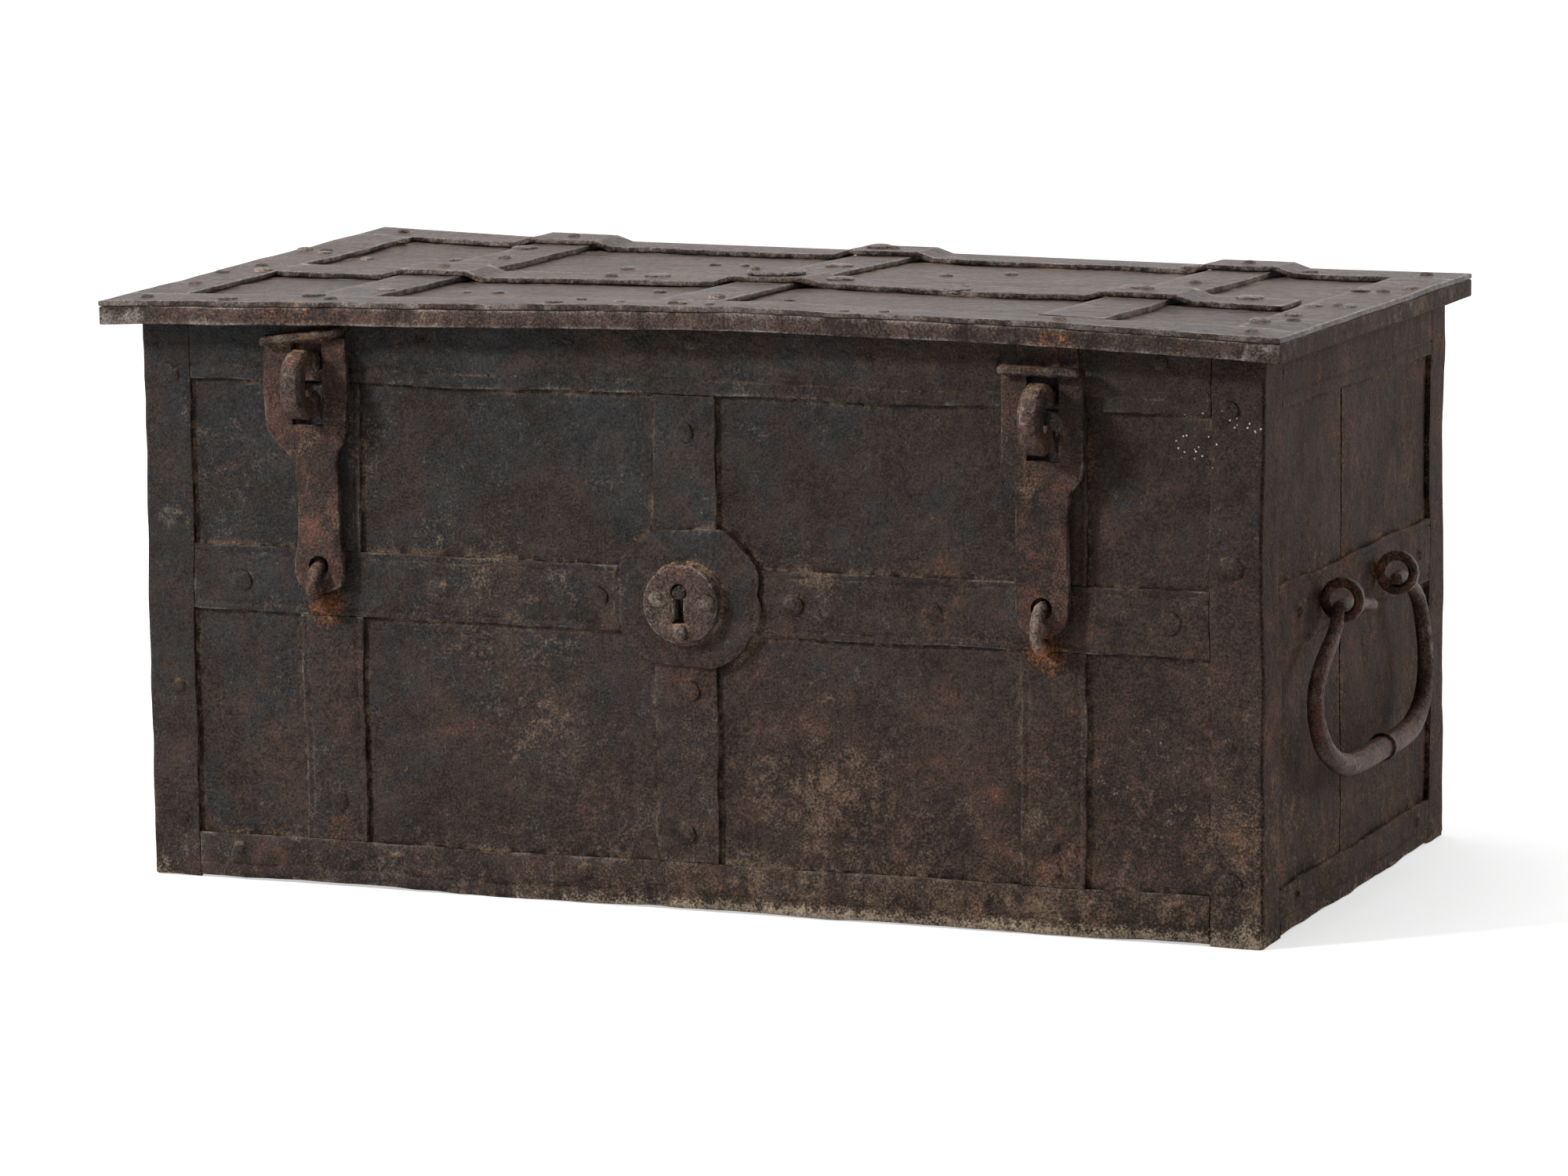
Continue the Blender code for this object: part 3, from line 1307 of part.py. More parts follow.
def make_hinge_straps(box):
    """Straps up the back, rolled round the hinge pins, with the pins held in them."""
    for x, word in ((LID_STRAP_X[0], "left"), (LID_STRAP_X[2], "right")):
        over = BACK + GAP + LID_STRAP / 2
        flush = BACK - STRAP + LID_STRAP / 2
        bend = TOP_BAND_LOW - LID_STRAP
        path = [
            (flush, WAIST_TOP + GAP),
            (flush, bend - BACK_STRAP_JOGGLE),
            (over, bend),
            (over, HINGE_Z),
        ]
        roll = arc((HINGE_Y, HINGE_Z), ROLL_R, ROLL_R, pi, -ROLL_TURN, ROLL_STEPS)
        path += roll[1:]
        mesh = outline_mesh(word, thickened(path, LID_STRAP), LID_STRAP_W, along_x(x))
        strap = box.add("back_hinge_strap_" + word, mesh, IRON, (x, HINGE_Y, HINGE_Z))
        room = LID_KNUCKLE_W / 2 + RUNNING
        notch = box_mesh(
            "notch",
            (x - room, BACK - OVERRUN, HINGE_Z - KNUCKLE_R - RUNNING),
            (x + room, BACK + 3 * KNUCKLE_R, HINGE_Z + 2 * KNUCKLE_R),
        )
        box.cut(strap, box.helper("knuckle_notch_" + word, notch))
        reach = LID_STRAP_W / 2 + PIN_HEAD
        shaft = rod_mesh(
            "pin", (x - reach, HINGE_Y, HINGE_Z), (x + reach, HINGE_Y, HINGE_Z), PIN_R
        )
        box.fuse(strap, "hinge_pin_" + word, shaft)
        for side, end in ((-1, "inner"), (1, "outer")):
            start = (x + side * (LID_STRAP_W / 2 - PIN_HEAD / 3), HINGE_Y, HINGE_Z)
            finish = (x + side * reach, HINGE_Y, HINGE_Z)
            head = rod_mesh("head", start, finish, PIN_HEAD_R)
            box.fuse(strap, "pin_head_" + word + "_" + end, head)
        low = WAIST_TOP + LID_STRAP_W / 2
        face = BACK - STRAP + LID_STRAP
        rivet(box, strap, [(x, face, low)], (0, 1, 0))


def outward(direction):
    """Takes (out, across) points of a slide to the lid's own directions about the key."""
    turn = Matrix.Rotation(direction, 4, "Z")
    return Matrix.Translation((KEY.x, KEY.y, 0.0)) @ turn


def slide_outline(tip, heads):
    """A bar from its cam pin out to a yoke that carries the bolt heads."""
    start = CAM_R - SLIDE_INNER
    yoke_out = tip - HEAD_L
    yoke_in = yoke_out - YOKE_W
    half = SLIDE_W / 2
    wide = max(heads) + HEAD_W / 2
    outline = [(start, -half), (yoke_in, -half), (yoke_in, -wide)]
    for at in heads:
        outline += [
            (yoke_out, at - HEAD_W / 2),
            (tip, at - HEAD_W / 2),
            (tip, at + HEAD_W / 2),
            (yoke_out, at + HEAD_W / 2),
        ]
    outline += [(yoke_in, wide), (yoke_in, half), (start, half)]
    return [point for index, point in enumerate(outline) if point != outline[index - 1]]


def slides():
    """Each slide's name, direction, tip and heads."""
    return (
        ("front", -pi / 2, FRONT_TIP, FRONT_HEADS),
        ("back", pi / 2, BACK_TIP, BACK_HEADS),
        ("left", pi, LEFT_TIP, SIDE_HEADS),
        ("right", 0.0, RIGHT_TIP, SIDE_HEADS),
    )


def make_slides(box):
    for word, direction, tip, heads in slides():
        place = outward(direction) @ along_z((SLIDE_TOP + SLIDE_LOW) / 2)
        mesh = outline_mesh(word, slide_outline(tip, heads), SLIDE_T, place)
        origin = outward(direction) @ Vector((CAM_R, 0.0, SLIDE_LOW))
        slide = box.add("bolt_slide_" + word, mesh, IRON_WORN, origin)
        pin = rod_mesh(
            "pin",
            outward(direction) @ Vector((CAM_R, 0.0, SLIDE_LOW + SLIDE_T / 2)),
            outward(direction) @ Vector((CAM_R, 0.0, HUB_LOW + GAP)),
            CAM_PIN_R,
        )
        box.fuse(slide, "cam_pin_" + word, pin)


def make_hub(box, keyhole):
    """The lock's cam: a disc with four spiral slots, turned by the key in its boss."""
    mesh = rod_mesh(
        "hub", (KEY.x, KEY.y, HUB_LOW), (KEY.x, KEY.y, HUB_TOP), HUB_R, HUB_STEPS
    )
    hub = box.add("lock_hub", mesh, IRON_WORN, (KEY.x, KEY.y, HUB_LOW))
    boss = rod_mesh(
        "boss",
        (KEY.x, KEY.y, HUB_TOP - HUB_T / 2),
        (KEY.x, KEY.y, LOCK_TOP),
        HUB_BOSS_R,
        HUB_STEPS,
    )
    box.fuse(hub, "hub_boss", boss)
    rate = BOLT_TRAVEL / HUB_TURN
    for word, direction, _, _ in slides():
        path = []
        for step in range(CAM_STEPS + 1):
            turn = HUB_TURN * step / CAM_STEPS
            radius = CAM_R + rate * turn
            path.append((radius * cos(-turn), radius * sin(-turn)))
        outline = round_ended(path, 2 * (CAM_PIN_R + RUNNING))
        place = outward(direction) @ along_z((HUB_LOW + HUB_TOP) / 2)
        mesh = outline_mesh("cam", outline, HUB_T + 2 * CAM_OVERRUN, place)
        box.cut(hub, box.helper("cam_slot_" + word, mesh))
    box.cut(hub, keyhole)


def guide_mesh(direction, at):
    """A staple under a slide, hung from the lock plate."""
    inner = SLIDE_W / 2 + RUNNING
    outer = inner + GUIDE_T
    floor = SLIDE_LOW - RUNNING
    top = LOCK_LOW + LOCK_PLATE_T / 2
    outline = [
        (-outer, top),
        (-outer, floor - GUIDE_T),
        (outer, floor - GUIDE_T),
        (outer, top),
        (inner, top),
        (inner, floor),
        (-inner, floor),
        (-inner, top),
    ]
    return outline_mesh("guide", outline, GUIDE_L, outward(direction) @ along_x(at))


def lock_plate_outline():
    """A square plate with an arm along each slide."""
    half, arm = LOCK_PLATE_HALF, LOCK_ARM_W / 2
    reach = {
        word: tip - HEAD_L - YOKE_W - GUIDE_BACK + GUIDE_L for word, _, tip, _ in slides()
    }
    quarter = (("right", 0.0), ("back", pi / 2), ("left", pi), ("front", -pi / 2))
    outline = []
    for word, turn in quarter:
        for out, across in ((half, -arm), (reach[word], -arm), (reach[word], arm), (half, arm)):
            spun = Vector((out, across)).to_3d()
            spun.rotate(Matrix.Rotation(turn, 3, "Z"))
            outline.append((KEY.x + spun.x, KEY.y + spun.y))
        corner = Vector((LOCK_CORNER, LOCK_CORNER)).to_3d()
        corner.rotate(Matrix.Rotation(turn, 3, "Z"))
        outline.append((KEY.x + corner.x, KEY.y + corner.y))
    return outline


def make_lock_plate(box):
    """The lock's plate, with the slides' guides and the posts that hold it off the lid."""
    mesh = outline_mesh(
        "lock", lock_plate_outline(), LOCK_PLATE_T, along_z((LOCK_LOW + LOCK_TOP) / 2)
    )
    plate = box.add("lock_plate", mesh, IRON_WORN)
    guides, posts = [], []
    for _, direction, tip, _ in slides():
        far = tip - HEAD_L - YOKE_W - GUIDE_BACK
        guides += [guide_mesh(direction, at) for at in (GUIDE_NEAR, far)]
    for across in (-1, 1):
        for out in (-1, 1):
            posts.append(Vector((across * POST_AT, out * POST_AT, 0.0)) + KEY)
    for _, direction, tip, _ in slides():
        far = tip - HEAD_L - YOKE_W - GUIDE_BACK - POST_FAR
        posts.append(outward(direction) @ Vector((far, 0.0, 0.0)))
    rods = []
    for at in posts:
        low = (at.x, at.y, LOCK_LOW + LOCK_PLATE_T / 2)
        lift = min(lid_lift(at.x + edge, at.y) for edge in (-POST_R, POST_R))
        high = (at.x, at.y, PLATE_LOW - GAP + lift)
        rods.append(rod_mesh("post", low, high, POST_R, SMALL_STEPS))
    box.fuse(plate, "slide_guides", joined("guides", guides))
    box.fuse(plate, "lock_posts", joined("posts", rods))
    bearing = rod_mesh(
        "bearing",
        (KEY.x, KEY.y, LOCK_LOW - OVERRUN),
        (KEY.x, KEY.y, LOCK_TOP + OVERRUN),
        HUB_BOSS_R + GAP,
        HUB_STEPS,
    )
    box.cut(plate, box.helper("hub_bearing", bearing))


def make_lock_cover(box):
    """A pierced round plate that keeps the hub up, on four legs between the slides."""
    top = HUB_LOW - GAP
    low = top - LOCK_COVER_T
    mesh = rod_mesh(
        "cover", (KEY.x, KEY.y, low), (KEY.x, KEY.y, top), LOCK_COVER_R, HUB_STEPS
    )
    cover = box.add("lock_cover", mesh, IRON_WORN)
    legs, holes = [], []
    for index in range(4):
        turn = pi / 4 + index * pi / 2
        at = KEY + LOCK_COVER_LEG_AT * Vector((cos(turn), sin(turn), 0.0))
        start = (at.x, at.y, low + LOCK_COVER_T / 2)
        end = (at.x, at.y, LOCK_LOW - GAP)
        legs.append(rod_mesh("leg", start, end, LOCK_COVER_LEG_R, SMALL_STEPS))
    for index in range(LOCK_COVER_HOLES):
        turn = index * 2 * pi / LOCK_COVER_HOLES
        at = KEY + LOCK_COVER_HOLE_AT * Vector((cos(turn), sin(turn), 0.0))
        start, end = (at.x, at.y, low - OVERRUN), (at.x, at.y, top + LOCK_COVER_OVERRUN)
        holes.append(rod_mesh("hole", start, end, LOCK_COVER_HOLE_R))
    start, end = (KEY.x, KEY.y, low - OVERRUN), (KEY.x, KEY.y, top + LOCK_COVER_OVERRUN)
    holes.append(rod_mesh("hole", start, end, LOCK_COVER_HOLE_R))
    box.fuse(cover, "lock_cover_legs", joined("legs", legs))
    box.cut(cover, box.helper("lock_cover_piercing", joined("holes", holes)))


def main():
    clear_scene()
    box = Box()
    legs = staple_leg_holes(box)
    shanks = eye_shank_holes(box)
    keyhole = lid_keyhole(box)
    make_sheets(box, legs, shanks)
    make_corner_irons(box)
    make_rims(box)
    make_bands(box, legs, shanks)
    make_uprights(box, legs)
    make_centre_upright(box)
    make_boss(box)
    make_staples(box)
    make_hasps(box)
    make_hooks(box)
    make_eyes(box)
    make_handles(box)
    make_lid_sheet(box, keyhole)
    make_skirt(box)
    make_frame_straps(box)
    make_cross_straps(box, keyhole)
    make_long_strap(box, keyhole)
    make_cover(box)
    make_hinge_straps(box)
    make_slides(box)
    make_hub(box, keyhole)
    make_lock_plate(box)
    make_lock_cover(box)


main()
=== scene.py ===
"""Looks for the wrought-iron strongbox: forged unevenness, patina, rust, dust and light."""

import json
from math import cos, exp, radians, sin
from types import SimpleNamespace
from typing import NamedTuple

import bmesh
import bpy
from mathutils import Matrix, Vector, noise
from mathutils.bvhtree import BVHTree


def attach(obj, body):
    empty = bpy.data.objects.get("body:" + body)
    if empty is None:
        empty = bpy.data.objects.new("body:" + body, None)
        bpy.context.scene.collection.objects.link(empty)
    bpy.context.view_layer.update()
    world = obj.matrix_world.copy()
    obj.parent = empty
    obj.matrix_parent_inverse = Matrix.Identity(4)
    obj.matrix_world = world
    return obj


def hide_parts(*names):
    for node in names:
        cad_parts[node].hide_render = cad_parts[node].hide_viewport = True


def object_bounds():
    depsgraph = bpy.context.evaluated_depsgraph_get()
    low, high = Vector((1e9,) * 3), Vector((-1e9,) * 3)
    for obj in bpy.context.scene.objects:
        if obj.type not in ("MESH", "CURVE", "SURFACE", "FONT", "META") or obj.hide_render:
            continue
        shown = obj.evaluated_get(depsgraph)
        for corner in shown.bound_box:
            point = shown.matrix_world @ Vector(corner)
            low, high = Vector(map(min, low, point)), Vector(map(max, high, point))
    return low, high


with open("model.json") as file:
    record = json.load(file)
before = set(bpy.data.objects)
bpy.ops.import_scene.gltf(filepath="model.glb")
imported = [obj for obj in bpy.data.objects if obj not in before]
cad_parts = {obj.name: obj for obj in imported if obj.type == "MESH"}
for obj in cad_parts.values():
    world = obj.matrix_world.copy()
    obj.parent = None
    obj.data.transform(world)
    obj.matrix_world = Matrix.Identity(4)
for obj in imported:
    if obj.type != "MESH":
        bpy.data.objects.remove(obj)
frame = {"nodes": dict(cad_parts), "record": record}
cad_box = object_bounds()

# The camera, at the photograph's viewing angle
AIM = Vector((0.0748, -0.21115, 0.2346))
AZIMUTH, ELEVATION, ROLL = radians(21.738), radians(8.344), radians(-0.495)
DISTANCE = 4.322
LENS = 141.9
SENSOR = 36.0
FARTHEST = 100.0

# Planes of the body that the looks are tied to, in metres
HALF = 0.425
FRONT = -0.21115
BACK = 0.24185
LID_FACE = -0.2392
SEAM = -0.0164

# Places and levels that differ by less than this are one
NEAR = 0.0001
MERGE = 1e-5
CUT_CLEAR = 1e-6

# Faces that turn by less than FLAT are one face, and edges that turn by more than STEEP are
# rounded. What then turns by more than SHARP is shaded sharp.
FLAT = radians(0.8)
STEEP = radians(50)
SHARP = radians(38)

# Rounding: steps round an edge, and how many times its own rounding an edge is long at least
EDGE_STEPS = 2
EDGE_TIMES = 5
CORNER_ROUNDING = 0.0032
CORNER_STEPS = 4

# Points are worn where an edge turns by more than this, unless a hollow is near
WORN_STEEP = radians(18)
CORNER_STEEP = radians(30)
HOLLOW_NEAR = 0.003

# How far a face looks up where dust lies on it, and how far it is turned to look another way
LEDGE_UP = 0.6
TURNED = 0.5

# The lines that a smith scored along the straps
SCORE_DEPTH = 0.0010
SCORE_WIDTH = 0.0028
FACING = 0.99

# Low rivet heads: their mesh, how deep they sit, how far round them their seat is felt for,
# how round and how uneven they are, and how worn
HEAD_RINGS = 4
HEAD_SIDES = 18
HEAD_SUNK = 0.0015
HEAD_REACH = 1.2
HEAD_ROUND = 0.8
HEAD_UNEVEN = 0.14
HEAD_WAVE = 1.3
HEAD_WORN = 0.93

# The waves of the forged surface: length, share of its unevenness, and how far off and along
# which way each is taken from the noise, which without a seed would differ in each run
WAVES = ((0.120, 0.9, 3.1), (0.045, 0.50, 7.7), (0.021, 0.36, 12.9))
NOISE_WAY = (1.0, -0.7, 1.3)
SEED = 3
noise.seed_set(SEED)

# Where pieces run close by each other the iron stays even: a place, the axes along which
# the way from it counts, and how near it is all even and how far all uneven
EVEN = (
    ((0.0, 0.24965, 0.412), (0, 1, 1), 0.022, 0.045),
    ((-0.020495, -0.022158, 0.435704), (1, 1, 1), 0.042, 0.065),
)


def smooth_step(low, high, value):
    t = min(max((value - low) / (high - low), 0.0), 1.0)
    return t * t * (3 - 2 * t)


def forged_offset(point, wave):
    """One wandering field for the whole box, so that pieces that touch move together."""
    move = Vector()
    for size, share, off in WAVES:
        at = point / size + Vector([off * way for way in NOISE_WAY])
        move += noise.noise_vector(at, noise_basis="PERLIN_ORIGINAL") * share
    for place, axes, near, far in EVEN:
        away = Vector(a * (b - c) for a, b, c in zip(axes, point, place)).length
        move *= smooth_step(near, far, away)
    return move * wave


def cut_at(bm, normal, place):
    parts = bm.verts[:] + bm.edges[:] + bm.faces[:]
    where = normal * place
    bmesh.ops.bisect_plane(bm, geom=parts, dist=CUT_CLEAR, plane_co=where, plane_no=normal)


def cut_grid(bm, cell):
    """Cuts the mesh with planes about a cell apart along each axis."""
    for axis in range(3):
        low = min(v.co[axis] for v in bm.verts)
        high = max(v.co[axis] for v in bm.verts)
        count = int((high - low) / cell)
        normal = Vector((axis == 0, axis == 1, axis == 2))
        for index in range(1, count):
            cut_at(bm, normal, low + (high - low) * index / count)


def sharp_edges(bm, shortest):
    """The outward edges that a smith's file and years of hands have rounded."""
    return [
        edge
        for edge in bm.edges
        if len(edge.link_faces) == 2
        and edge.calc_length() > shortest
        and edge.calc_face_angle_signed() > STEEP
    ]


def body_corners(bm):
    """The upright outer edges of the corner irons, bent rather than cut."""

    def on_corner(vertex):
        x, y, _ = vertex.co
        return abs(abs(x) - HALF) < NEAR and min(abs(y - FRONT), abs(y - BACK)) < NEAR

    return [edge for edge in bm.edges if all(on_corner(v) for v in edge.verts)]


def bevel(bm, edges, width, segments):
    bmesh.ops.bevel(
        bm,
        geom=edges,
        offset=width,
        offset_type="OFFSET",
        segments=segments,
        profile=0.5,
        affect="EDGES",
        clamp_overlap=True,
    )


def score(bm, out, across, insets):
    """Scores lines into a strap's face, as far inside its low and high edges as the insets."""
    facing = (f for f in bm.faces if f.normal.dot(out) > FACING)
    face = max(facing, key=lambda f: f.calc_area())
    level = face.calc_center_median().dot(out)
    reach = [v.co.dot(across) for v in face.verts]
    places = (min(reach) + insets[0], max(reach) - insets[1])
    for at, inset in zip(places, insets):
        if not inset:
            continue
        for offset in (-SCORE_WIDTH / 2, 0.0, SCORE_WIDTH / 2):
            cut_at(bm, across, at + offset)
        for vertex in bm.verts:
            in_line = abs(vertex.co.dot(across) - at) < NEAR
            if in_line and abs(vertex.co.dot(out) - level) < NEAR:
                vertex.co -= out * SCORE_DEPTH


def mark_edges(bm, steep):
    """Marks the points on worn edges, where no hollow is near, and the points on ledges."""
    worn = bm.verts.layers.float.new("edge")
    ledge = bm.verts.layers.float.new("ledge")
    bends = {}
    for vertex in bm.verts:
        angles = [
            edge.calc_face_angle_signed(0.0)
            for edge in vertex.link_edges
            if len(edge.link_faces) == 2
        ]
        bends[vertex] = (max(angles, default=0.0), min(angles, default=0.0))
    for vertex in bm.verts:
        beside = {edge.other_vert(vertex) for edge in vertex.link_edges}
        beside |= {edge.other_vert(other) for other in beside for edge in other.link_edges}
        by_hollow = any(
            bends[other][1] < -WORN_STEEP and (other.co - vertex.co).length < HOLLOW_NEAR
            for other in beside
        )
        vertex[worn] = 1.0 if bends[vertex][0] > steep and not by_hollow else 0.0
        up = max(face.normal.z for face in vertex.link_faces)
        vertex[ledge] = 1.0 if up > LEDGE_UP else 0.0


def put_in_order(bm):
    """Orders edges and faces by their points, because a bevel leaves them in a chance order."""
    bm.verts.index_update()
    count = len(bm.verts)

    def place(element):
        total = 0
        for vertex in element.verts[:3]:
            total = total * count + vertex.index
        return total

    bm.edges.sort(key=place)
    bm.faces.sort(key=place)


def finished(bm, name, body):
    put_in_order(bm)
    mesh = bpy.data.meshes.new(name)
    bm.to_mesh(mesh)
    bm.free()
    piece = bpy.data.objects.new(name, mesh)
    bpy.context.scene.collection.objects.link(piece)
    mesh.shade_smooth()
    mesh.set_sharp_from_angle(angle=SHARP)
    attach(piece, body)
    return piece


def dressed(name, cell, wave, rounding, scores):
    """A CAD node's form made by hand: edges rounded, and all of it a little uneven."""
    is_corner = name.startswith("corner_iron")
    bm = bmesh.new()
    bm.from_mesh(frame["nodes"][name].data)
    bmesh.ops.remove_doubles(bm, verts=bm.verts, dist=MERGE)
    bmesh.ops.dissolve_limit(bm, angle_limit=FLAT, verts=bm.verts, edges=bm.edges)
    for out, across, insets in scores:
        score(bm, Vector(out), Vector(across), insets)
    if is_corner:
        bevel(bm, body_corners(bm), CORNER_ROUNDING, CORNER_STEPS)
    if rounding:
        bevel(bm, sharp_edges(bm, rounding * EDGE_TIMES), rounding, EDGE_STEPS)
    cut_grid(bm, cell)
    mark_edges(bm, CORNER_STEEP if is_corner else WORN_STEEP)
    low, high = cad_box
    for vertex in bm.verts:
        at = vertex.co + forged_offset(vertex.co, wave)
        vertex.co = [min(max(a, b), c) for a, b, c in zip(at, low, high)]
    record = frame["record"]
    body = next(b for b, nodes in record["behaviour"]["bodies"].items() if name in nodes)
    piece = finished(bm, name + "_forged", body)
    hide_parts(name)
    return piece


def surface(pieces):
    """What lies under small heads: the faces of some pieces as one search tree."""
    points, faces = [], []
    for piece in pieces:
        start = len(points)
        points += [v.co.copy() for v in piece.data.vertices]
        faces += [[start + i for i in face.vertices] for face in piece.data.polygons]
    return BVHTree.FromPolygons(points, faces)


def add_head(bm, seat, rays, radius, height, out, number):
    """Adds one domed head on its seat, a little out of round."""
    rings = []
    for ring in range(HEAD_RINGS + 1):
        turn = ring / HEAD_RINGS * radians(90)
        part = cos(turn)
        level = height * sin(turn) ** HEAD_ROUND if ring else -HEAD_SUNK
        points = []
        for ray in rays if ring < HEAD_RINGS else rays[:1]:
            uneven = 1.0 + HEAD_UNEVEN * noise.noise(ray * HEAD_WAVE + Vector((number, 0, 0)))
            points.append(bm.verts.new(seat + ray * radius * part * uneven + out * level))
        rings.append(points)
    bm.faces.new(reversed(rings[0]))
    for low, high in zip(rings, rings[1:]):
        for index, point in enumerate(low):
            after = (index + 1) % HEAD_SIDES
            above = [high[after], high[index]] if len(high) > 1 else [high[0]]
            bm.faces.new([point, low[after]] + above)


def heads(name, body, carriers, out, rows):
    """Low forged rivet heads, each seated on what lies under it."""
    tree = surface(carriers)
    out = Vector(out)
    side = Vector((1, 0, 0))
    along = out.cross(side)
    turns = [radians(360) * index / HEAD_SIDES for index in range(HEAD_SIDES)]
    rays = [side * cos(turn) + along * sin(turn) for turn in turns]
    bm = bmesh.new()
    for number, (across, up, radius, height) in enumerate(rows):
        flat = side * across + (Vector((0, up, 0)) if out.z else Vector((0, 0, up)))
        below = [tree.ray_cast(flat + ray * radius * HEAD_REACH + out, -out)[0] for ray in rays]
        levels = sorted(point.dot(out) for point in below if point)
        seat = flat + out * levels[len(levels) // 2]
        add_head(bm, seat, rays, radius, height, out, number)
    bmesh.ops.recalc_face_normals(bm, faces=bm.faces)
    worn = bm.verts.layers.float.new("edge")
    for vertex in bm.verts:
        vertex[worn] = HEAD_WORN
    return finished(bm, name, body)


class Graph:
    """Short ways to write a material's nodes."""

    def __init__(self, name):
        self.material = bpy.data.materials.new(name)
        self.material.use_nodes = True
        self.tree = self.material.node_tree
        self.shader = self.tree.nodes["Principled BSDF"]
        self.place = self.add("ShaderNodeTexCoord").outputs["Object"]

    def add(self, kind, **settings):
        node = self.tree.nodes.new(kind)
        for key, value in settings.items():
            setattr(node, key, value)
        return node

    def put(self, socket, value):
        if isinstance(value, bpy.types.NodeSocket):
            self.tree.links.new(value, socket)
        elif isinstance(value, tuple) and len(value) == 3 and len(socket.default_value) == 4:
            socket.default_value = (*value, 1.0)
        else:
            socket.default_value = value

    def math(self, operation, first, second=0.0, clamp=False):
        node = self.add("ShaderNodeMath", operation=operation, use_clamp=clamp)
        self.put(node.inputs[0], first)
        self.put(node.inputs[1], second)
        return node.outputs[0]

    def times(self, *values):
        total = values[0]
        for value in values[1:]:
            total = self.math("MULTIPLY", total, value)
        return total

    def plus(self, *values):
        total = values[0]
        for value in values[1:]:
            total = self.math("ADD", total, value)
        return total

    def about(self, middle, *shares):
        """A value round middle that wanders by each noise's share."""
        total = middle
        for value, share in shares:
            shifted = self.math("MULTIPLY_ADD", value, share)
            shifted.node.inputs[2].default_value = -share / 2
            total = self.math("ADD", total, shifted)
        return total

    def mix(self, share, first, second):
        node = self.add("ShaderNodeMix", data_type="RGBA")
        self.put(node.inputs[0], share)
        self.put(node.inputs[6], first)
        self.put(node.inputs[7], second)
        return node.outputs[2]

    def step(self, value, low, high, to_low=0.0, to_high=1.0):
        node = self.add("ShaderNodeMapRange", interpolation_type="SMOOTHSTEP")
        self.put(node.inputs["Value"], value)
        node.inputs["From Min"].default_value = low
        node.inputs["From Max"].default_value = high
        node.inputs["To Min"].default_value = to_low
        node.inputs["To Max"].default_value = to_high
        return node.outputs["Result"]

    def scaled(self, colour, factor):
        node = self.add("ShaderNodeVectorMath", operation="SCALE")
        self.put(node.inputs[0], colour)
        self.put(node.inputs["Scale"], factor)
        return node.outputs["Vector"]

    def stretched(self, scale):
        node = self.add("ShaderNodeMapping")
        self.put(node.inputs["Vector"], self.place)
        node.inputs["Scale"].default_value = scale
        return node.outputs["Vector"]

    def noise(self, scale, detail, rough, distort, where, seed):
        node = self.add("ShaderNodeTexNoise", noise_dimensions="4D")
        self.put(node.inputs["Vector"], where)
        node.inputs["W"].default_value = seed
        node.inputs["Scale"].default_value = scale
        node.inputs["Detail"].default_value = detail
        node.inputs["Roughness"].default_value = rough
        node.inputs["Distortion"].default_value = distort
        return node.outputs["Fac"]

    def cells(self, scale, seed):
        node = self.add("ShaderNodeTexVoronoi", voronoi_dimensions="3D")
        moved = self.add("ShaderNodeMapping")
        moved.inputs["Location"].default_value = (seed, seed, seed)
        self.put(moved.inputs["Vector"], self.place)
        self.put(node.inputs["Vector"], moved.outputs["Vector"])
        node.inputs["Scale"].default_value = scale
        return node.outputs["Distance"]

    def attribute(self, name):
        return self.add("ShaderNodeAttribute", attribute_name=name).outputs["Fac"]

    def corner(self, reach):
        node = self.add("ShaderNodeAmbientOcclusion", samples=CORNER_RAYS)
        node.inputs["Distance"].default_value = reach
        return self.math("SUBTRACT", 1.0, node.outputs["AO"])


BLUE_BLACK = (0.0202, 0.0194, 0.0192)
BLACK = (0.0090, 0.0080, 0.0080)
# SHADE_COLOUR is painted shade: what corners, creases and the dark marks are darkened to
SHADE_COLOUR = (0.0050, 0.0045, 0.0045)
BROWN = (0.0420, 0.0262, 0.0202)
RED_RUST = (0.0820, 0.0350, 0.0230)
ORANGE_RUST = (0.1700, 0.0680, 0.0320)
DUST = (0.1500, 0.1000, 0.0650)
PALE = (0.2900, 0.2250, 0.1600)
WHITE = (0.6200, 0.5800, 0.5000)
WORN = (0.1250, 0.1050, 0.0920)

# How far into corners dust gathers and painted shade falls, in metres, and how finely that is felt
CORNER_REACH = 0.006
CORNER_RAYS = 6

# The noises that iron has aged by: features in a metre, detail, roughness, distortion,
# step of the seed, and whether the look stretches it
NOISES = {
    "cloud": (10.0, 4.0, 0.60, 0.5, 0, False),
    "patch": (32.0, 7.0, 0.62, 0.5, 1, True),
    "mottle": (110.0, 8.0, 0.66, 0.2, 2, True),
    "grain": (620.0, 4.0, 0.60, 0.0, 3, True),
    "other": (24.0, 8.0, 0.66, 0.8, 4, True),
    "blots": (130.0, 7.0, 0.66, 0.4, 5, False),
    "streak": (260.0, 6.0, 0.68, 0.0, 6, True),
    "lumps": (62.0, 4.0, 0.50, 0.0, 8, False),
}


class Look(NamedTuple):
    """How one kind of surface has aged."""

    name: str
    cool: float  # blue-black scale in place of brown patina
    red: float  # red rust
    dust: float  # a film of dust
    wear: float  # edges rubbed bright
    grime: float  # dust caught in corners
    streaks: tuple = (1, 1, 1)  # how closely the pattern repeats along each axis
    rough: float = 0.5
    light: float = 1.0  # how light all of it is
    scratch: float = 0.0
    seed: float = 0.0
    ledges: bool = True  # dust on what faces up
    sheen: float = 0.13
    thin: float = 7.0  # how narrow the rubbed edges are
    deep: float = 0.0018  # the depth of the pitted surface, in metres
    spotted: float = 0.55  # how black the black blots are


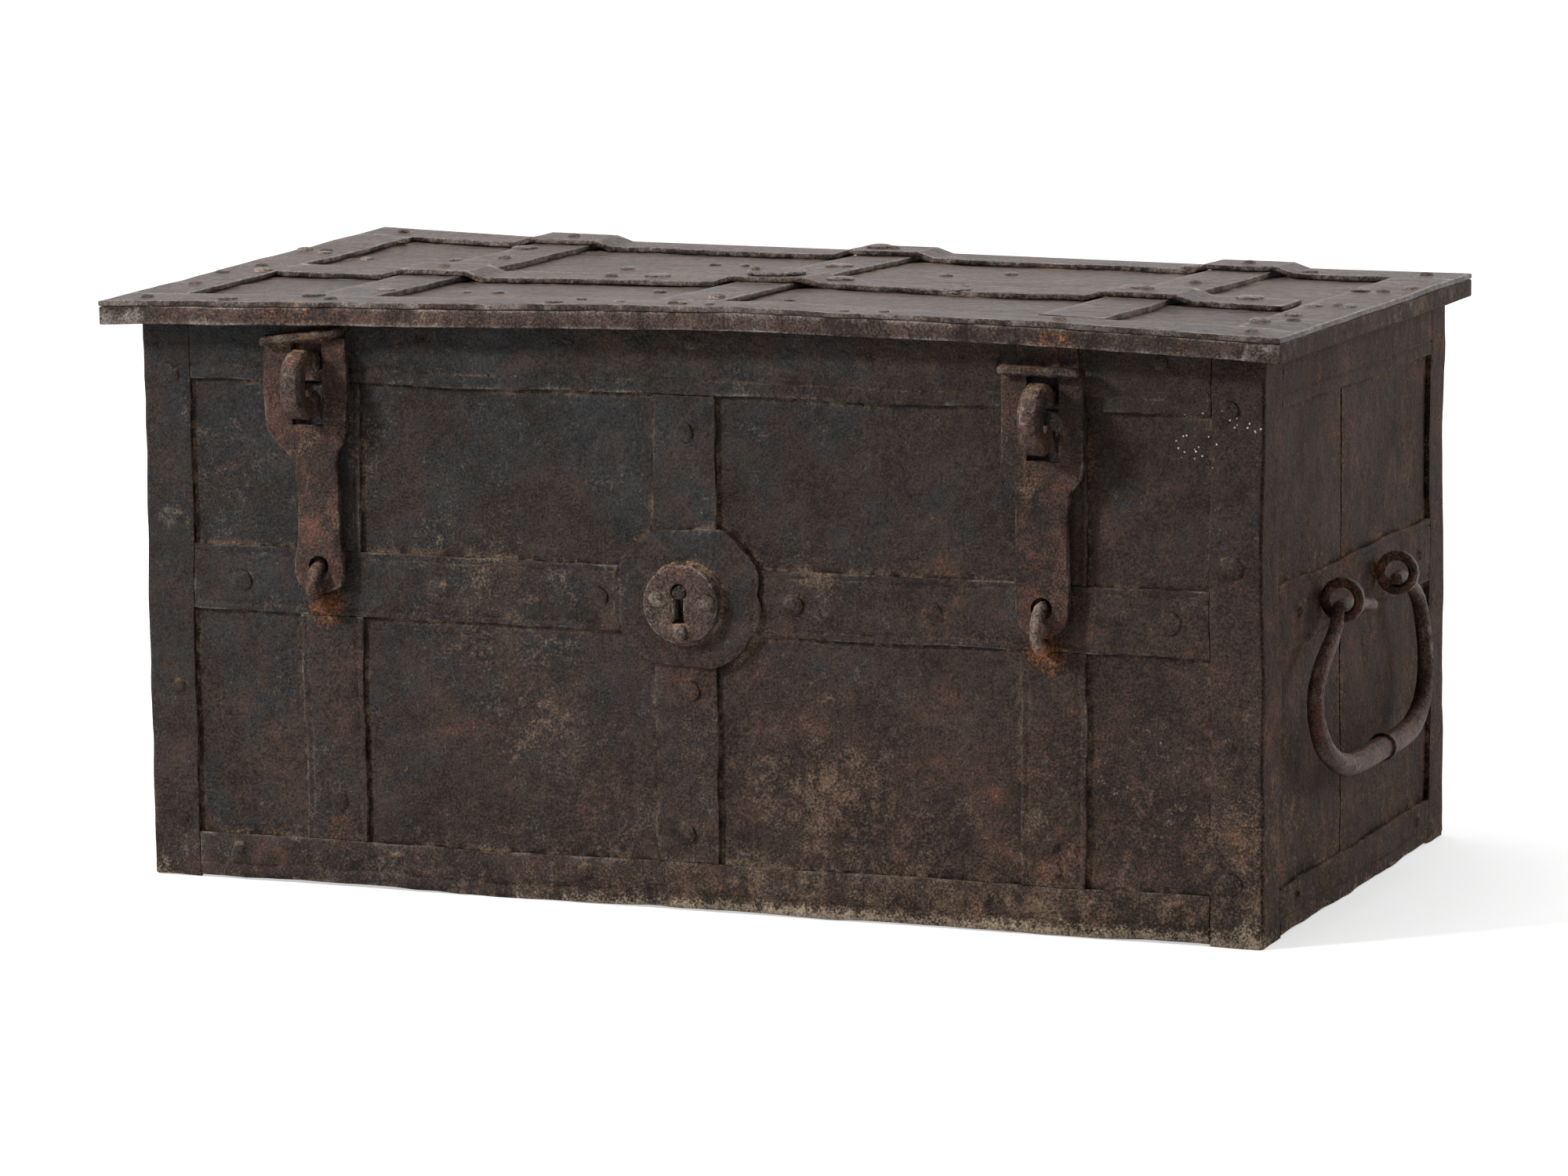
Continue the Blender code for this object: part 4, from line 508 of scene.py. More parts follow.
def patina(g, n, look):
    """Blue-black scale, brown patina, red rust and black blots."""
    scale = g.plus(g.attribute("cool"), look.cool)
    scale = g.about(scale, (n.cloud, 1.4), (n.patch, 2.2), (n.mottle, 1.5), (n.grain, 0.7))
    blue = g.step(scale, 0.0, 0.62)
    colour = g.mix(blue, BROWN, BLUE_BLACK)
    reddish = g.about(look.red, (n.other, 2.0), (n.mottle, 1.6), (blue, -0.3))
    colour = g.mix(g.step(reddish, 0.10, 0.60, 0.0, 0.75), colour, RED_RUST)
    black = g.about(0.0, (n.blots, 2.2), (n.other, 1.0))
    return g.mix(g.step(black, 0.15, 0.50, 0.0, look.spotted), colour, BLACK)


def dust_film(g, n, look):
    """A thin film of dust, thicker where it is marked."""
    film = g.plus(g.attribute("dust"), look.dust)
    return g.step(g.about(film, (n.blots, 1.6), (n.patch, 1.4), (n.grain, 1.3)), 0.30, 0.95)


def caught_dust(g, n, look, corner):
    """Dust that corners and ledges have caught."""
    in_corners = g.about(look.grime, (n.patch, 2.6), (n.mottle, 2.2))
    caught = g.times(corner, g.step(in_corners, 0.15, 0.75))
    on_ledges = g.about(look.grime, (n.patch, 2.6), (n.mottle, 2.6))
    shelf = g.times(g.math("POWER", g.attribute("ledge"), 6.0), g.step(on_ledges, 0.0, 0.6))
    return g.math("MAXIMUM", caught, g.times(shelf, 0.9 if look.ledges else 0.0))


def marked(g, name, gain, low, *shares):
    """Where a mark shows: broken up by noises, and nowhere outside its reach."""
    broken = g.about(g.times(g.attribute(name), gain), *shares)
    return g.times(g.step(broken, low, 0.95), g.step(g.attribute(name), 0.02, 0.30))


def toned(g, n, look, colour):
    """Varies how light the colour is."""
    shares = [(n.cloud, 1.3), (n.blots, 1.8), (n.mottle, 1.6)]
    shares += [(n.grain, 5.5), (n.other, 2.6), (n.patch, 1.6)]
    shares += [(n.streak, 4.0 * look.scratch), (n.patch, 4.5 * look.scratch)]
    shares += [(n.mottle, 5.0 * look.scratch)]
    tone = g.math("MAXIMUM", g.about(1.0, *shares), 0.25)
    return g.scaled(colour, g.times(tone, look.light))


def pale_specks(g, n, look):
    """Drops where specks are marked, and a few motes elsewhere."""
    specks = g.attribute("specks")
    drops = g.step(g.cells(210.0, look.seed), 0.17, 0.12)
    here = g.times(g.step(specks, 0.02, 0.20), g.step(g.about(specks, (n.blots, 1.6)), 0.35, 0.55))
    motes = g.step(g.cells(170.0, look.seed), 0.085, 0.05)
    there = g.times(g.step(n.other, 0.56, 0.66), 0.6)
    return g.math("MAXIMUM", g.times(drops, here), g.times(motes, there))


def relief(g, n, look, rusty, crust):
    """Hammered lumps, grain and pits, with rust and crust standing proud."""
    height = g.plus(g.times(n.lumps, 1.6), g.times(n.mottle, 1.5))
    height = g.plus(height, g.times(n.grain, 0.55), g.times(n.blots, 0.7))
    height = g.plus(height, g.times(n.streak, 1.2 * look.scratch))
    height = g.plus(height, g.times(n.patch, 2.5 * look.scratch))
    pits = g.step(g.cells(230.0, look.seed), 0.10, 0.34, -0.30, 0.0)
    height = g.plus(height, g.times(pits, g.step(n.patch, 0.44, 0.58)))
    bump = g.add("ShaderNodeBump")
    bump.inputs["Strength"].default_value = 0.85
    bump.inputs["Distance"].default_value = look.deep
    g.put(bump.inputs["Height"], g.plus(height, g.times(rusty, 0.25), g.times(crust, 0.3)))
    return bump.outputs["Normal"]


def iron(look):
    """Old forged iron: blue-black scale, brown patina, rust, dust and painted shade in corners, and
    worn edges.
    """
    g = Graph(look.name)
    along = g.stretched(look.streaks)
    n = SimpleNamespace()
    for key, (scale, detail, rough, distort, step, stretches) in NOISES.items():
        where = along if stretches else g.place
        setattr(n, key, g.noise(scale, detail, rough, distort, where, look.seed + step))

    film = dust_film(g, n, look)
    corner = g.step(g.corner(CORNER_REACH), 0.06, 0.34)
    caught = caught_dust(g, n, look, corner)
    # Painted shade: corners and creases darkened where no dust has caught, and the dark marks
    painted_shade = g.math("SUBTRACT", corner, caught, clamp=True)
    painted_shade = g.math("MAXIMUM", g.times(painted_shade, 0.85), g.times(g.attribute("dark"), 0.8))
    rusty = marked(g, "rust", 1.25, 0.35, (n.mottle, 1.6), (n.grain, 0.8))
    crust = marked(g, "crust", 1.1, 0.45, (n.blots, 2.0), (n.grain, 1.2))
    edge = g.math("POWER", g.attribute("edge"), look.thin)
    rubbed = g.about(look.wear, (n.patch, 2.4), (n.mottle, 1.4))
    rubbed = g.times(edge, g.step(rubbed, 0.15, 0.85))

    # Each cover lies over those before it: where it is, how thick it is at most and its colour
    colour = patina(g, n, look)
    for cover, share, over in (
        (film, 0.62, DUST),
        (caught, 0.80, DUST),
        (painted_shade, 1.0, SHADE_COLOUR),
        (rusty, 0.85, ORANGE_RUST),
        (crust, 0.72, PALE),
        (rubbed, 0.75, WORN),
    ):
        colour = g.mix(g.times(cover, share), colour, over)
    colour = toned(g, n, look, colour)
    colour = g.mix(pale_specks(g, n, look), colour, WHITE)
    g.put(g.shader.inputs["Base Color"], colour)

    gloss = g.about(look.rough, (n.patch, 0.40), (n.mottle, 0.35))
    gloss = g.about(gloss, (n.streak, -1.2 * look.scratch))
    gloss = g.plus(gloss, g.times(film, 0.20), g.times(caught, 0.20), g.times(rusty, 0.20))
    gloss = g.math("SUBTRACT", gloss, g.times(rubbed, 0.12), clamp=True)
    g.put(g.shader.inputs["Roughness"], gloss)
    g.shader.inputs["Metallic"].default_value = 0.05
    g.shader.inputs["Specular IOR Level"].default_value = look.sheen
    g.put(g.shader.inputs["Normal"], relief(g, n, look, rusty, crust))
    return g.material


# Kind, place, reach and strength of what time has left in one spot, and of painted darkening (dark)
MARKS = [
    ("rust", (-0.280, FRONT - 0.008, 0.205), 0.016, 1.1),
    ("rust", (0.268, FRONT - 0.008, 0.198), 0.017, 1.1),
    ("rust", (-0.384, FRONT, 0.245), 0.010, 0.40),
    ("rust", (0.262, FRONT, 0.120), 0.050, 0.30),
    ("rust", (-0.274, FRONT, 0.043), 0.024, 0.42),
    ("rust", (0.274, FRONT, 0.047), 0.026, 0.42),
    ("rust", (0.000, FRONT, 0.036), 0.016, 0.3),
    ("rust", (-0.288, LID_FACE, 0.411), 0.045, 0.40),
    ("rust", (0.285, LID_FACE, 0.410), 0.035, 0.45),
    ("rust", (0.372, LID_FACE, 0.416), 0.020, 0.4),
    ("rust", (HALF, -0.015, 0.250), 0.022, 0.45),
    ("rust", (HALF + 0.016, 0.073, 0.090), 0.030, 0.5),
    ("rust", (0.271, FRONT - 0.020, 0.385), 0.016, 0.45),
    ("rust", (0.184, FRONT, 0.2215), 0.012, 0.35),
    ("rust", (0.262, FRONT - 0.012, 0.255), 0.040, 0.30),
    ("dust", (-0.150, FRONT, 0.222), 0.075, 0.22),
    ("dust", (-0.352, FRONT, 0.290), 0.035, 0.35),
    ("dust", (-0.245, FRONT, 0.328), 0.022, 0.40),
    ("dust", (-0.120, FRONT, 0.132), 0.045, 0.40),
    ("dust", (0.105, FRONT, 0.090), 0.065, 0.50),
    ("dust", (0.098, FRONT, 0.244), 0.020, 0.40),
    ("dust", (-0.288, FRONT - 0.010, 0.325), 0.012, 0.50),
    ("dust", (0.262, FRONT - 0.010, 0.312), 0.014, 0.50),
    ("dust", (0.262, FRONT - 0.014, 0.332), 0.010, 0.60),
    ("dust", (-0.285, FRONT - 0.024, 0.392), 0.020, 0.50),
    ("dust", (0.285, FRONT - 0.012, 0.238), 0.018, 0.45),
    ("dust", (-0.165, FRONT, 0.182), 0.028, 0.32),
    ("dust", (HALF, -0.165, 0.060), 0.085, 0.48),
    ("dust", (HALF, -0.070, 0.035), 0.055, 0.35),
    ("dust", (HALF, 0.080, 0.055), 0.050, 0.30),
    ("dust", (HALF, -0.078, 0.222), 0.034, 0.45),
    ("dust", (HALF, 0.060, 0.215), 0.034, 0.40),
    ("rust", (HALF, 0.060, 0.228), 0.026, 0.45),
    ("crust", (0.340, FRONT, 0.144), 0.024, 0.42),
    ("crust", (0.363, FRONT, 0.092), 0.026, 0.45),
    ("crust", (0.317, FRONT, 0.110), 0.024, 0.38),
    ("crust", (0.103, FRONT, 0.097), 0.030, 0.30),
    ("crust", (0.414, FRONT, 0.010), 0.014, 0.75),
    ("crust", (-0.413, FRONT, 0.004), 0.010, 0.75),
    # Dark marks: painted darkening, painted shade under the lid and a darker tone elsewhere
    ("dark", (0.100, FRONT, 0.330), 0.085, 0.25),
    ("dark", (0.375, FRONT, 0.310), 0.075, 0.32),
    ("dark", (0.230, FRONT, 0.300), 0.030, 0.30),
    ("dark", (0.202, FRONT, 0.368), 0.045, 0.40),
    ("dark", (0.320, FRONT, 0.374), 0.030, 0.45),
    ("dark", (0.200, FRONT, 0.192), 0.036, 0.32),
    ("dark", (0.324, FRONT, 0.200), 0.026, 0.42),
    ("dark", (-0.020, FRONT - 0.012, 0.212), 0.018, 0.25),
    ("dark", (-0.425, FRONT, 0.360), 0.060, 0.32),
    ("dark", (-0.425, FRONT, 0.230), 0.060, 0.32),
    ("dark", (-0.425, FRONT, 0.110), 0.060, 0.28),
    ("dark", (0.400, -0.180, 0.424), 0.090, 0.35),
    ("dark", (-0.120, FRONT, 0.300), 0.070, 0.12),
    ("dark", (0.320, LID_FACE, 0.410), 0.140, 0.38),
    ("dark", (-0.400, LID_FACE, 0.410), 0.120, 0.32),
    ("dark", (HALF, -0.100, 0.330), 0.080, 0.22),
    ("dark", (HALF, 0.110, 0.320), 0.080, 0.30),
    ("dark", (HALF, 0.235, 0.250), 0.100, 0.35),
    ("specks", (0.374, FRONT, 0.350), 0.022, 0.80),
    ("specks", (0.326, FRONT, 0.341), 0.014, 0.70),
    ("specks", (0.409, FRONT, 0.363), 0.018, 0.70),
]

# How strong the things are that lie over whole faces of the box
COOL_LEFT = 0.42
COOL_HIGH = 0.30
LOW_DUST = 0.26
FOOT_DUST = 0.16
SEAM_DUST = 0.42
FOOT_CRUST = 1.05
SIDE_FOOT_CRUST = 0.5

# Between which places they come or go
NEAR_FRONT = (FRONT + 0.03, FRONT + 0.01)
NEAR_SIDE = (HALF - 0.012, HALF - 0.002)
COOL_ACROSS, COOL_UP = (0.48, -0.42), (0.08, 0.36)
LOW_DUST_ACROSS, LOW_DUST_UP = (-0.45, 0.20), (0.20, 0.0)
FOOT_DUST_UP = (0.045, 0.02)
FOOT_CRUST_ACROSS = (-0.25, 0.02)

# How far they reach from the foot or the seam
FOOT_REACH = 0.011
SIDE_FOOT_REACH = 0.012
SEAM_REACH = 0.008

# How many times its reach a mark is felt at most
MARK_TIMES = 2.5

PAINTED = ("cool", "rust", "dust", "crust", "specks", "dark")


def over_faces(x, y, z, on_lid):
    """How cool, dusty and crusted one point is from what lies over whole faces."""
    front = 0.0 if on_lid else smooth_step(*NEAR_FRONT, y)
    outside = 0.0 if on_lid else smooth_step(*NEAR_SIDE, abs(x)) * (1 - front)
    cool = COOL_LEFT * smooth_step(*COOL_ACROSS, x) + COOL_HIGH * smooth_step(*COOL_UP, z)
    dust = LOW_DUST * smooth_step(*LOW_DUST_UP, z) * smooth_step(*LOW_DUST_ACROSS, x) * front
    dust += FOOT_DUST * smooth_step(*FOOT_DUST_UP, z) * front
    dust += SEAM_DUST * exp(-(((y - SEAM) / SEAM_REACH) ** 2)) * outside
    crust = FOOT_CRUST * exp(-((z / FOOT_REACH) ** 2)) * smooth_step(*FOOT_CRUST_ACROSS, x) * front
    crust += SIDE_FOOT_CRUST * exp(-((z / SIDE_FOOT_REACH) ** 2)) * (1 - front)
    return {"cool": front * cool, "dust": dust, "crust": crust}


def paint_places(piece, on_lid):
    """Writes what has gathered on each point of a piece, and its painted darkening, for the
    materials to read.
    """
    low, high = (Vector(corner) for corner in (piece.bound_box[0], piece.bound_box[6]))
    near = []
    for kind, place, reach, strength in MARKS:
        away = Vector(max(a - p, p - b, 0.0) for a, b, p in zip(low, high, place)).length
        if away < MARK_TIMES * reach:
            near.append((kind, Vector(place), reach, strength))
    values = {key: [] for key in PAINTED}
    for vertex in piece.data.vertices:
        at = dict.fromkeys(PAINTED, 0.0) | over_faces(*vertex.co, on_lid)
        for kind, place, reach, strength in near:
            away = (place - vertex.co).length / reach
            at[kind] = max(at[kind], strength * exp(-away * away))
        for key, value in at.items():
            values[key].append(value)
    for key, numbers in values.items():
        piece.data.attributes.new(key, "FLOAT", "POINT").data.foreach_set("value", numbers)


# Looks by key: name, cool, red, dust, wear and grime, and then what isn't plain about them
LOOKS = {
    "body": Look("walls", -0.18, -0.08, 0.10, 0.10, 0.44, light=0.97, seed=1.0),
    "bands": Look("bands", -0.20, -0.08, 0.12, 0.30, 0.46, light=0.97, seed=4.0),
    "boss": Look("boss", -0.30, 0.0, 0.10, 0.60, 0.40, rough=0.45, light=1.9, seed=6.0),
    "side": Look(
        "side_walls",
        *(-0.70, -0.04, 0.14, 0.15, 0.45),
        streaks=(1, 1, 0.8),
        rough=0.7,
        light=0.96,
        scratch=0.04,
        seed=9.0,
        sheen=0.05,
    ),
    # The lid's tops are painted lighter than their straps' cut sides (lid_cut): a painted sheen of
    # the overhead light
    "lid": Look(
        "lid",
        *(0.05, -0.38, 0.08, 1.10, 0.35),
        streaks=(0.55, 1, 1),
        rough=0.38,
        light=1.85,
        scratch=0.35,
        seed=14.0,
        ledges=False,
        sheen=0.20,
        thin=9.0,
        deep=0.0036,
    ),
    # The lid straps' cut sides: the same iron painted darker, as painted shade
    "lid_cut": Look(
        "lid_cut_edges", *(-0.20, -0.12, 0.10, 0.50, 0.30), light=1.15, seed=36.0, ledges=False
    ),
    "skirt": Look(
        "lid_edge",
        *(-0.10, -0.18, 0.16, 0.55, 0.10),
        light=1.50,
        scratch=0.2,
        seed=19.0,
        ledges=False,
    ),
    "hasp": Look(
        "hasps", *(-0.75, 0.14, 0.12, 0.35, 0.30), rough=0.48, light=1.04, seed=23.0, spotted=0.30
    ),
    "ring": Look(
        "rings", *(-0.60, 0.12, 0.06, 0.25, 0.15), rough=0.40, light=1.85, seed=26.0, spotted=0.20
    ),
    "handle": Look(
        "handles",
        *(-0.90, 0.38, 0.05, 0.30, 0.0),
        rough=0.48,
        light=1.05,
        seed=29.0,
        sheen=0.09,
        spotted=0.40,
    ),
    "inside": Look(
        "inside", *(-0.50, -0.10, 0.10, 0.10, 0.50), rough=0.62, light=1.05, seed=31.0, ledges=False
    ),
    "lock": Look(
        "lock_steel",
        *(0.45, -0.40, 0.05, 0.80, 0.25),
        rough=0.36,
        light=2.3,
        scratch=0.1,
        seed=33.0,
        ledges=False,
        sheen=0.30,
    ),
}
MATERIALS = {key: iron(look) for key, look in LOOKS.items()}

FORE, AFT, LEFT, RIGHT, UP = (0, -1, 0), (0, 1, 0), (-1, 0, 0), (1, 0, 0), (0, 0, 1)
BOTH = (0.0050, 0.0050)
CREASE = (0.0100, 0.0)

# The ways that scored straps face, the ways across them and their lines' insets
SCORES = {
    "waist_band_front": (FORE, UP, BOTH),
    "waist_band_back": (AFT, UP, BOTH),
    "waist_band_left": (LEFT, UP, BOTH),
    "waist_band_right": (RIGHT, UP, BOTH),
    "upright_centre": (FORE, RIGHT, BOTH),
    "upright_left_lower": (FORE, RIGHT, BOTH),
    "upright_right_lower": (FORE, RIGHT, BOTH),
    "upright_right_upper": (FORE, RIGHT, BOTH),
    "upright_left_upper": (FORE, RIGHT, BOTH),
    "foot_band_front": (FORE, UP, CREASE),
    "foot_band_right": (RIGHT, UP, CREASE),
    "rim_front": (FORE, UP, CREASE),
    "rim_back": (AFT, UP, CREASE),
    "rim_left": (LEFT, UP, CREASE),
    "rim_right": (RIGHT, UP, CREASE),
}

# Grid cell, unevenness, rounding, look and nodes
PIECES = [
    (0.012, 0.0020, 0.0, "body", "front_sheet back_sheet"),
    (0.020, 0.0006, 0.0, "body", "floor_sheet"),
    (0.012, 0.0020, 0.0, "side", "left_side_sheet right_side_sheet"),
    (0.009, 0.0020, 0.0009, "bands", "corner_iron_front_left corner_iron_front_right"),
    (0.010, 0.0020, 0.0009, "side", "corner_iron_back_left corner_iron_back_right"),
    (0.009, 0.0020, 0.0008, "bands", "rim_front rim_back"),
    (0.010, 0.0020, 0.0008, "side", "rim_left rim_right"),
    (0.009, 0.0020, 0.0008, "bands", "waist_band_front waist_band_back"),
    (0.010, 0.0020, 0.0008, "side", "waist_band_left waist_band_right"),
    (0.009, 0.0020, 0.0008, "bands", "foot_band_front foot_band_back"),
    (0.010, 0.0020, 0.0008, "side", "foot_band_left foot_band_right"),
    (0.009, 0.0020, 0.0008, "bands", "upright_left_lower upright_left_upper upright_centre"),
    (0.009, 0.0020, 0.0008, "bands", "upright_right_lower upright_right_upper"),
    (0.006, 0.0016, 0.0010, "boss", "false_keyhole_boss"),
    (0.005, 0.0012, 0.0, "ring", "hasp_staple_left hasp_staple_right"),
    (0.006, 0.0007, 0.0010, "hasp", "hasp_left hasp_right"),
    (0.005, 0.0006, 0.0, "ring", "lid_hook_left lid_hook_right"),
    (0.005, 0.0006, 0.0, "handle", "handle_eye_left_front handle_eye_left_rear"),
    (0.005, 0.0006, 0.0, "handle", "handle_eye_right_front handle_eye_right_rear"),
    (0.006, 0.0004, 0.0, "handle", "handle_left handle_right"),
    (0.012, 0.0011, 0.0, "lid", "lid_sheet"),
    (0.009, 0.0011, 0.0009, "skirt", "lid_skirt"),
    (0.009, 0.0011, 0.0010, "lid", "lid_strap_front lid_strap_back lid_strap_left"),
    (0.009, 0.0011, 0.0010, "lid", "lid_strap_right lid_strap_long"),
    (0.009, 0.0011, 0.0010, "lid", "lid_cross_strap_left lid_cross_strap_centre"),
    (0.009, 0.0011, 0.0010, "lid", "lid_cross_strap_right"),
    (0.008, 0.0011, 0.0, "lid", "keyhole_cover"),
    (0.009, 0.0005, 0.0, "bands", "back_hinge_strap_left back_hinge_strap_right"),
    (0.014, 0.0001, 0.0, "lock", "lock_plate lock_cover lock_hub"),
    (0.014, 0.0001, 0.0004, "lock", "bolt_slide_front bolt_slide_back"),
    (0.014, 0.0001, 0.0004, "lock", "bolt_slide_left bolt_slide_right"),
]

# Rivet heads on the lid: across, back, radius and height
LID_HEADS = [
    (-0.3965, 0.1718, 0.0061, 0.0022),
    (-0.3832, 0.0815, 0.0054, 0.0022),
    (-0.4090, -0.0452, 0.0077, 0.0025),
    (-0.4350, -0.0596, 0.0059, 0.0022),
    (-0.4360, 0.0821, 0.0061, 0.0025),
    (-0.4128, 0.0700, 0.0054, 0.0018),
    (-0.3489, -0.2229, 0.0074, 0.0018),
    (-0.2937, -0.1952, 0.0096, 0.0022),
    (-0.2575, -0.1505, 0.0080, 0.0015),
    (-0.3157, 0.0981, 0.0060, 0.0020),
    (-0.2868, 0.1629, 0.0103, 0.0022),
    (-0.1020, -0.0112, 0.0101, 0.0022),
    (-0.1633, 0.0736, 0.0059, 0.0020),
    (-0.1136, 0.1261, 0.0047, 0.0020),
    (-0.0898, 0.1274, 0.0041, 0.0018),
    (-0.1867, -0.1106, 0.0051, 0.0020),
    (-0.2097, -0.1150, 0.0040, 0.0016),
    (-0.0919, -0.2242, 0.0066, 0.0018),
    (-0.0819, -0.1989, 0.0039, 0.0016),
    (-0.0470, -0.2129, 0.0039, 0.0016),
    (-0.0691, -0.0868, 0.0051, 0.0020),
    (0.0021, -0.2164, 0.0044, 0.0016),
    (0.0100, -0.1705, 0.0066, 0.0042),
    (0.0500, -0.1337, 0.0039, 0.0016),
    (0.0240, -0.2192, 0.0038, 0.0016),
    (-0.0017, 0.0980, 0.0110, 0.0026),
    (0.0430, -0.0140, 0.0112, 0.0026),
    (-0.0156, 0.2200, 0.0108, 0.0030),
    (0.0819, 0.1010, 0.0052, 0.0020),
    (0.1415, -0.0366, 0.0107, 0.0024),
    (0.1206, 0.1361, 0.0053, 0.0020),
    (0.2391, 0.2050, 0.0088, 0.0024),
    (0.2645, -0.0120, 0.0101, 0.0024),
    (0.3507, -0.0060, 0.0101, 0.0026),
    (0.4038, -0.1534, 0.0081, 0.0034),
    (0.4106, -0.0971, 0.0065, 0.0020),
    (0.4048, -0.0310, 0.0072, 0.0020),
    (0.4282, -0.0232, 0.0061, 0.0020),
    (0.4051, 0.0845, 0.0074, 0.0022),
    (0.4330, 0.1168, 0.0063, 0.0020),
    (0.3300, 0.2080, 0.0064, 0.0022),
    (0.1269, -0.2249, 0.0038, 0.0014),
    (0.1543, -0.2200, 0.0038, 0.0014),
]

# Rivet heads on the front: across, up, radius and height
FRONT_HEADS = [
    (-0.3474, 0.2211, 0.0080, 0.0031),
    (-0.0666, 0.2216, 0.0078, 0.0031),
    (0.0814, 0.2230, 0.0078, 0.0031),
    (0.1854, 0.2219, 0.0078, 0.0031),
    (0.3585, 0.2235, 0.0082, 0.0031),
    (-0.0003, 0.3414, 0.0074, 0.0030),
    (0.0033, 0.1578, 0.0074, 0.0030),
    (-0.0010, 0.0550, 0.0078, 0.0030),
    (-0.2729, 0.0628, 0.0072, 0.0030),
    (0.3993, 0.3705, 0.0080, 0.0031),
    (0.4022, 0.2634, 0.0084, 0.0031),
    (0.4026, 0.0440, 0.0078, 0.0031),
    (-0.1933, 0.2211, 0.0067, 0.0016),
    (-0.4056, 0.3703, 0.0080, 0.0018),
    (-0.4065, 0.2642, 0.0082, 0.0016),
    (0.3513, 0.4023, 0.0053, 0.0018),
    (0.0044, 0.4048, 0.0046, 0.0016),
    (0.2744, 0.0465, 0.0062, 0.0016),
]

# Rivet heads on the false keyhole's boss: across, up, radius and height
BOSS_HEADS = [
    (-0.0158, 0.2248, 0.0060, 0.0042),
    (0.0217, 0.2237, 0.0060, 0.0042),
    (0.0013, 0.2011, 0.0052, 0.0034),
]

# Where faces take another look than the rest of their piece: nodes, look and which faces
OTHER_LOOKS = (
    (("corner_iron_front", "lid_skirt"), "side", lambda normal: abs(normal.x) > TURNED),
    # The lid straps' cut sides are painted darker than their tops, as painted shade
    (("lid_strap", "lid_cross_strap"), "lid_cut", lambda normal: abs(normal.z) < TURNED),
    (("lid_sheet",), "inside", lambda normal: normal.z < -TURNED),
)

made = {}
for cell, wave, rounding, look, names in PIECES:
    for name in names.split():
        lines = [SCORES[name]] if name in SCORES else []
        piece = dressed(name, cell, wave, rounding, lines)
        paint_places(piece, look in ("lid", "skirt", "lock"))
        piece.data.materials.clear()
        piece.data.materials.append(MATERIALS[look])
        for nodes, other, chosen in OTHER_LOOKS:
            if name.startswith(nodes):
                piece.data.materials.append(MATERIALS[other])
                for face in piece.data.polygons:
                    face.material_index = int(chosen(face.normal))
        made[name] = piece


def made_from(*words):
    return [piece for name, piece in made.items() if name.startswith(words)]


lid_straps = made_from("lid_s") + made_from("lid_cross_strap")
straps = ("waist_band_front", "rim_front", "foot_band_front", "corner_iron_front", "upright")
for piece, look in (
    (heads("lid_rivet_heads", "lid", lid_straps, UP, LID_HEADS), "lid"),
    (heads("front_rivet_heads", "box", made_from(*straps), FORE, FRONT_HEADS), "bands"),
    (heads("boss_rivet_heads", "box", made_from("false"), FORE, BOSS_HEADS), "boss"),
):
    paint_places(piece, look == "lid")
    piece.data.materials.append(MATERIALS[look])

# The floor, which is white from FLOOR_FAR away, and the plain white world
FLOOR_SIZE = 14.0
FLOOR_DROP = 0.0002
FLOOR_COLOUR = (0.80, 0.80, 0.80, 1.0)
FLOOR_ROUGH = 0.9
FLOOR_SHEEN = 0.1
FLOOR_NEAR, FLOOR_FAR = 0.8, 2.2
NEAR_GLOW, FAR_GLOW = 0.55, 1.0
ROOM_LIGHT = 0.14
FULL_WHITE = (1.0, 1.0, 1.0, 1.0)

# The lamps: name, place, aim, size and power in watts
LAMPS = (
    ("overhead", (-0.2, 0.1, 2.4), (0.0, 0.0, 0.4), (2.4, 1.6), 33),
    ("key", (-2.3, -2.5, 2.1), (0.0, -0.1, 0.2), (0.5, 0.5), 125),
    ("side", (2.3, 2.1, 1.2), (0.4, 0.0, 0.2), (0.9, 0.9), 36),
)


def seen_white(nodes, links, low, high):
    """A strength that is high for what is seen or mirrored, and low for what lights."""
    path = nodes.new("ShaderNodeLightPath")
    first, second = nodes.new("ShaderNodeMath"), nodes.new("ShaderNodeMath")
    first.operation = second.operation = "MAXIMUM"
    links.new(path.outputs["Is Camera Ray"], first.inputs[0])
    links.new(path.outputs["Is Glossy Ray"], first.inputs[1])
    links.new(first.outputs[0], second.inputs[0])
    links.new(path.outputs["Is Transmission Ray"], second.inputs[1])
    chosen = nodes.new("ShaderNodeMapRange")
    chosen.inputs["To Min"].default_value = low
    chosen.inputs["To Max"].default_value = high
    links.new(second.outputs[0], chosen.inputs["Value"])
    return chosen.outputs["Result"]


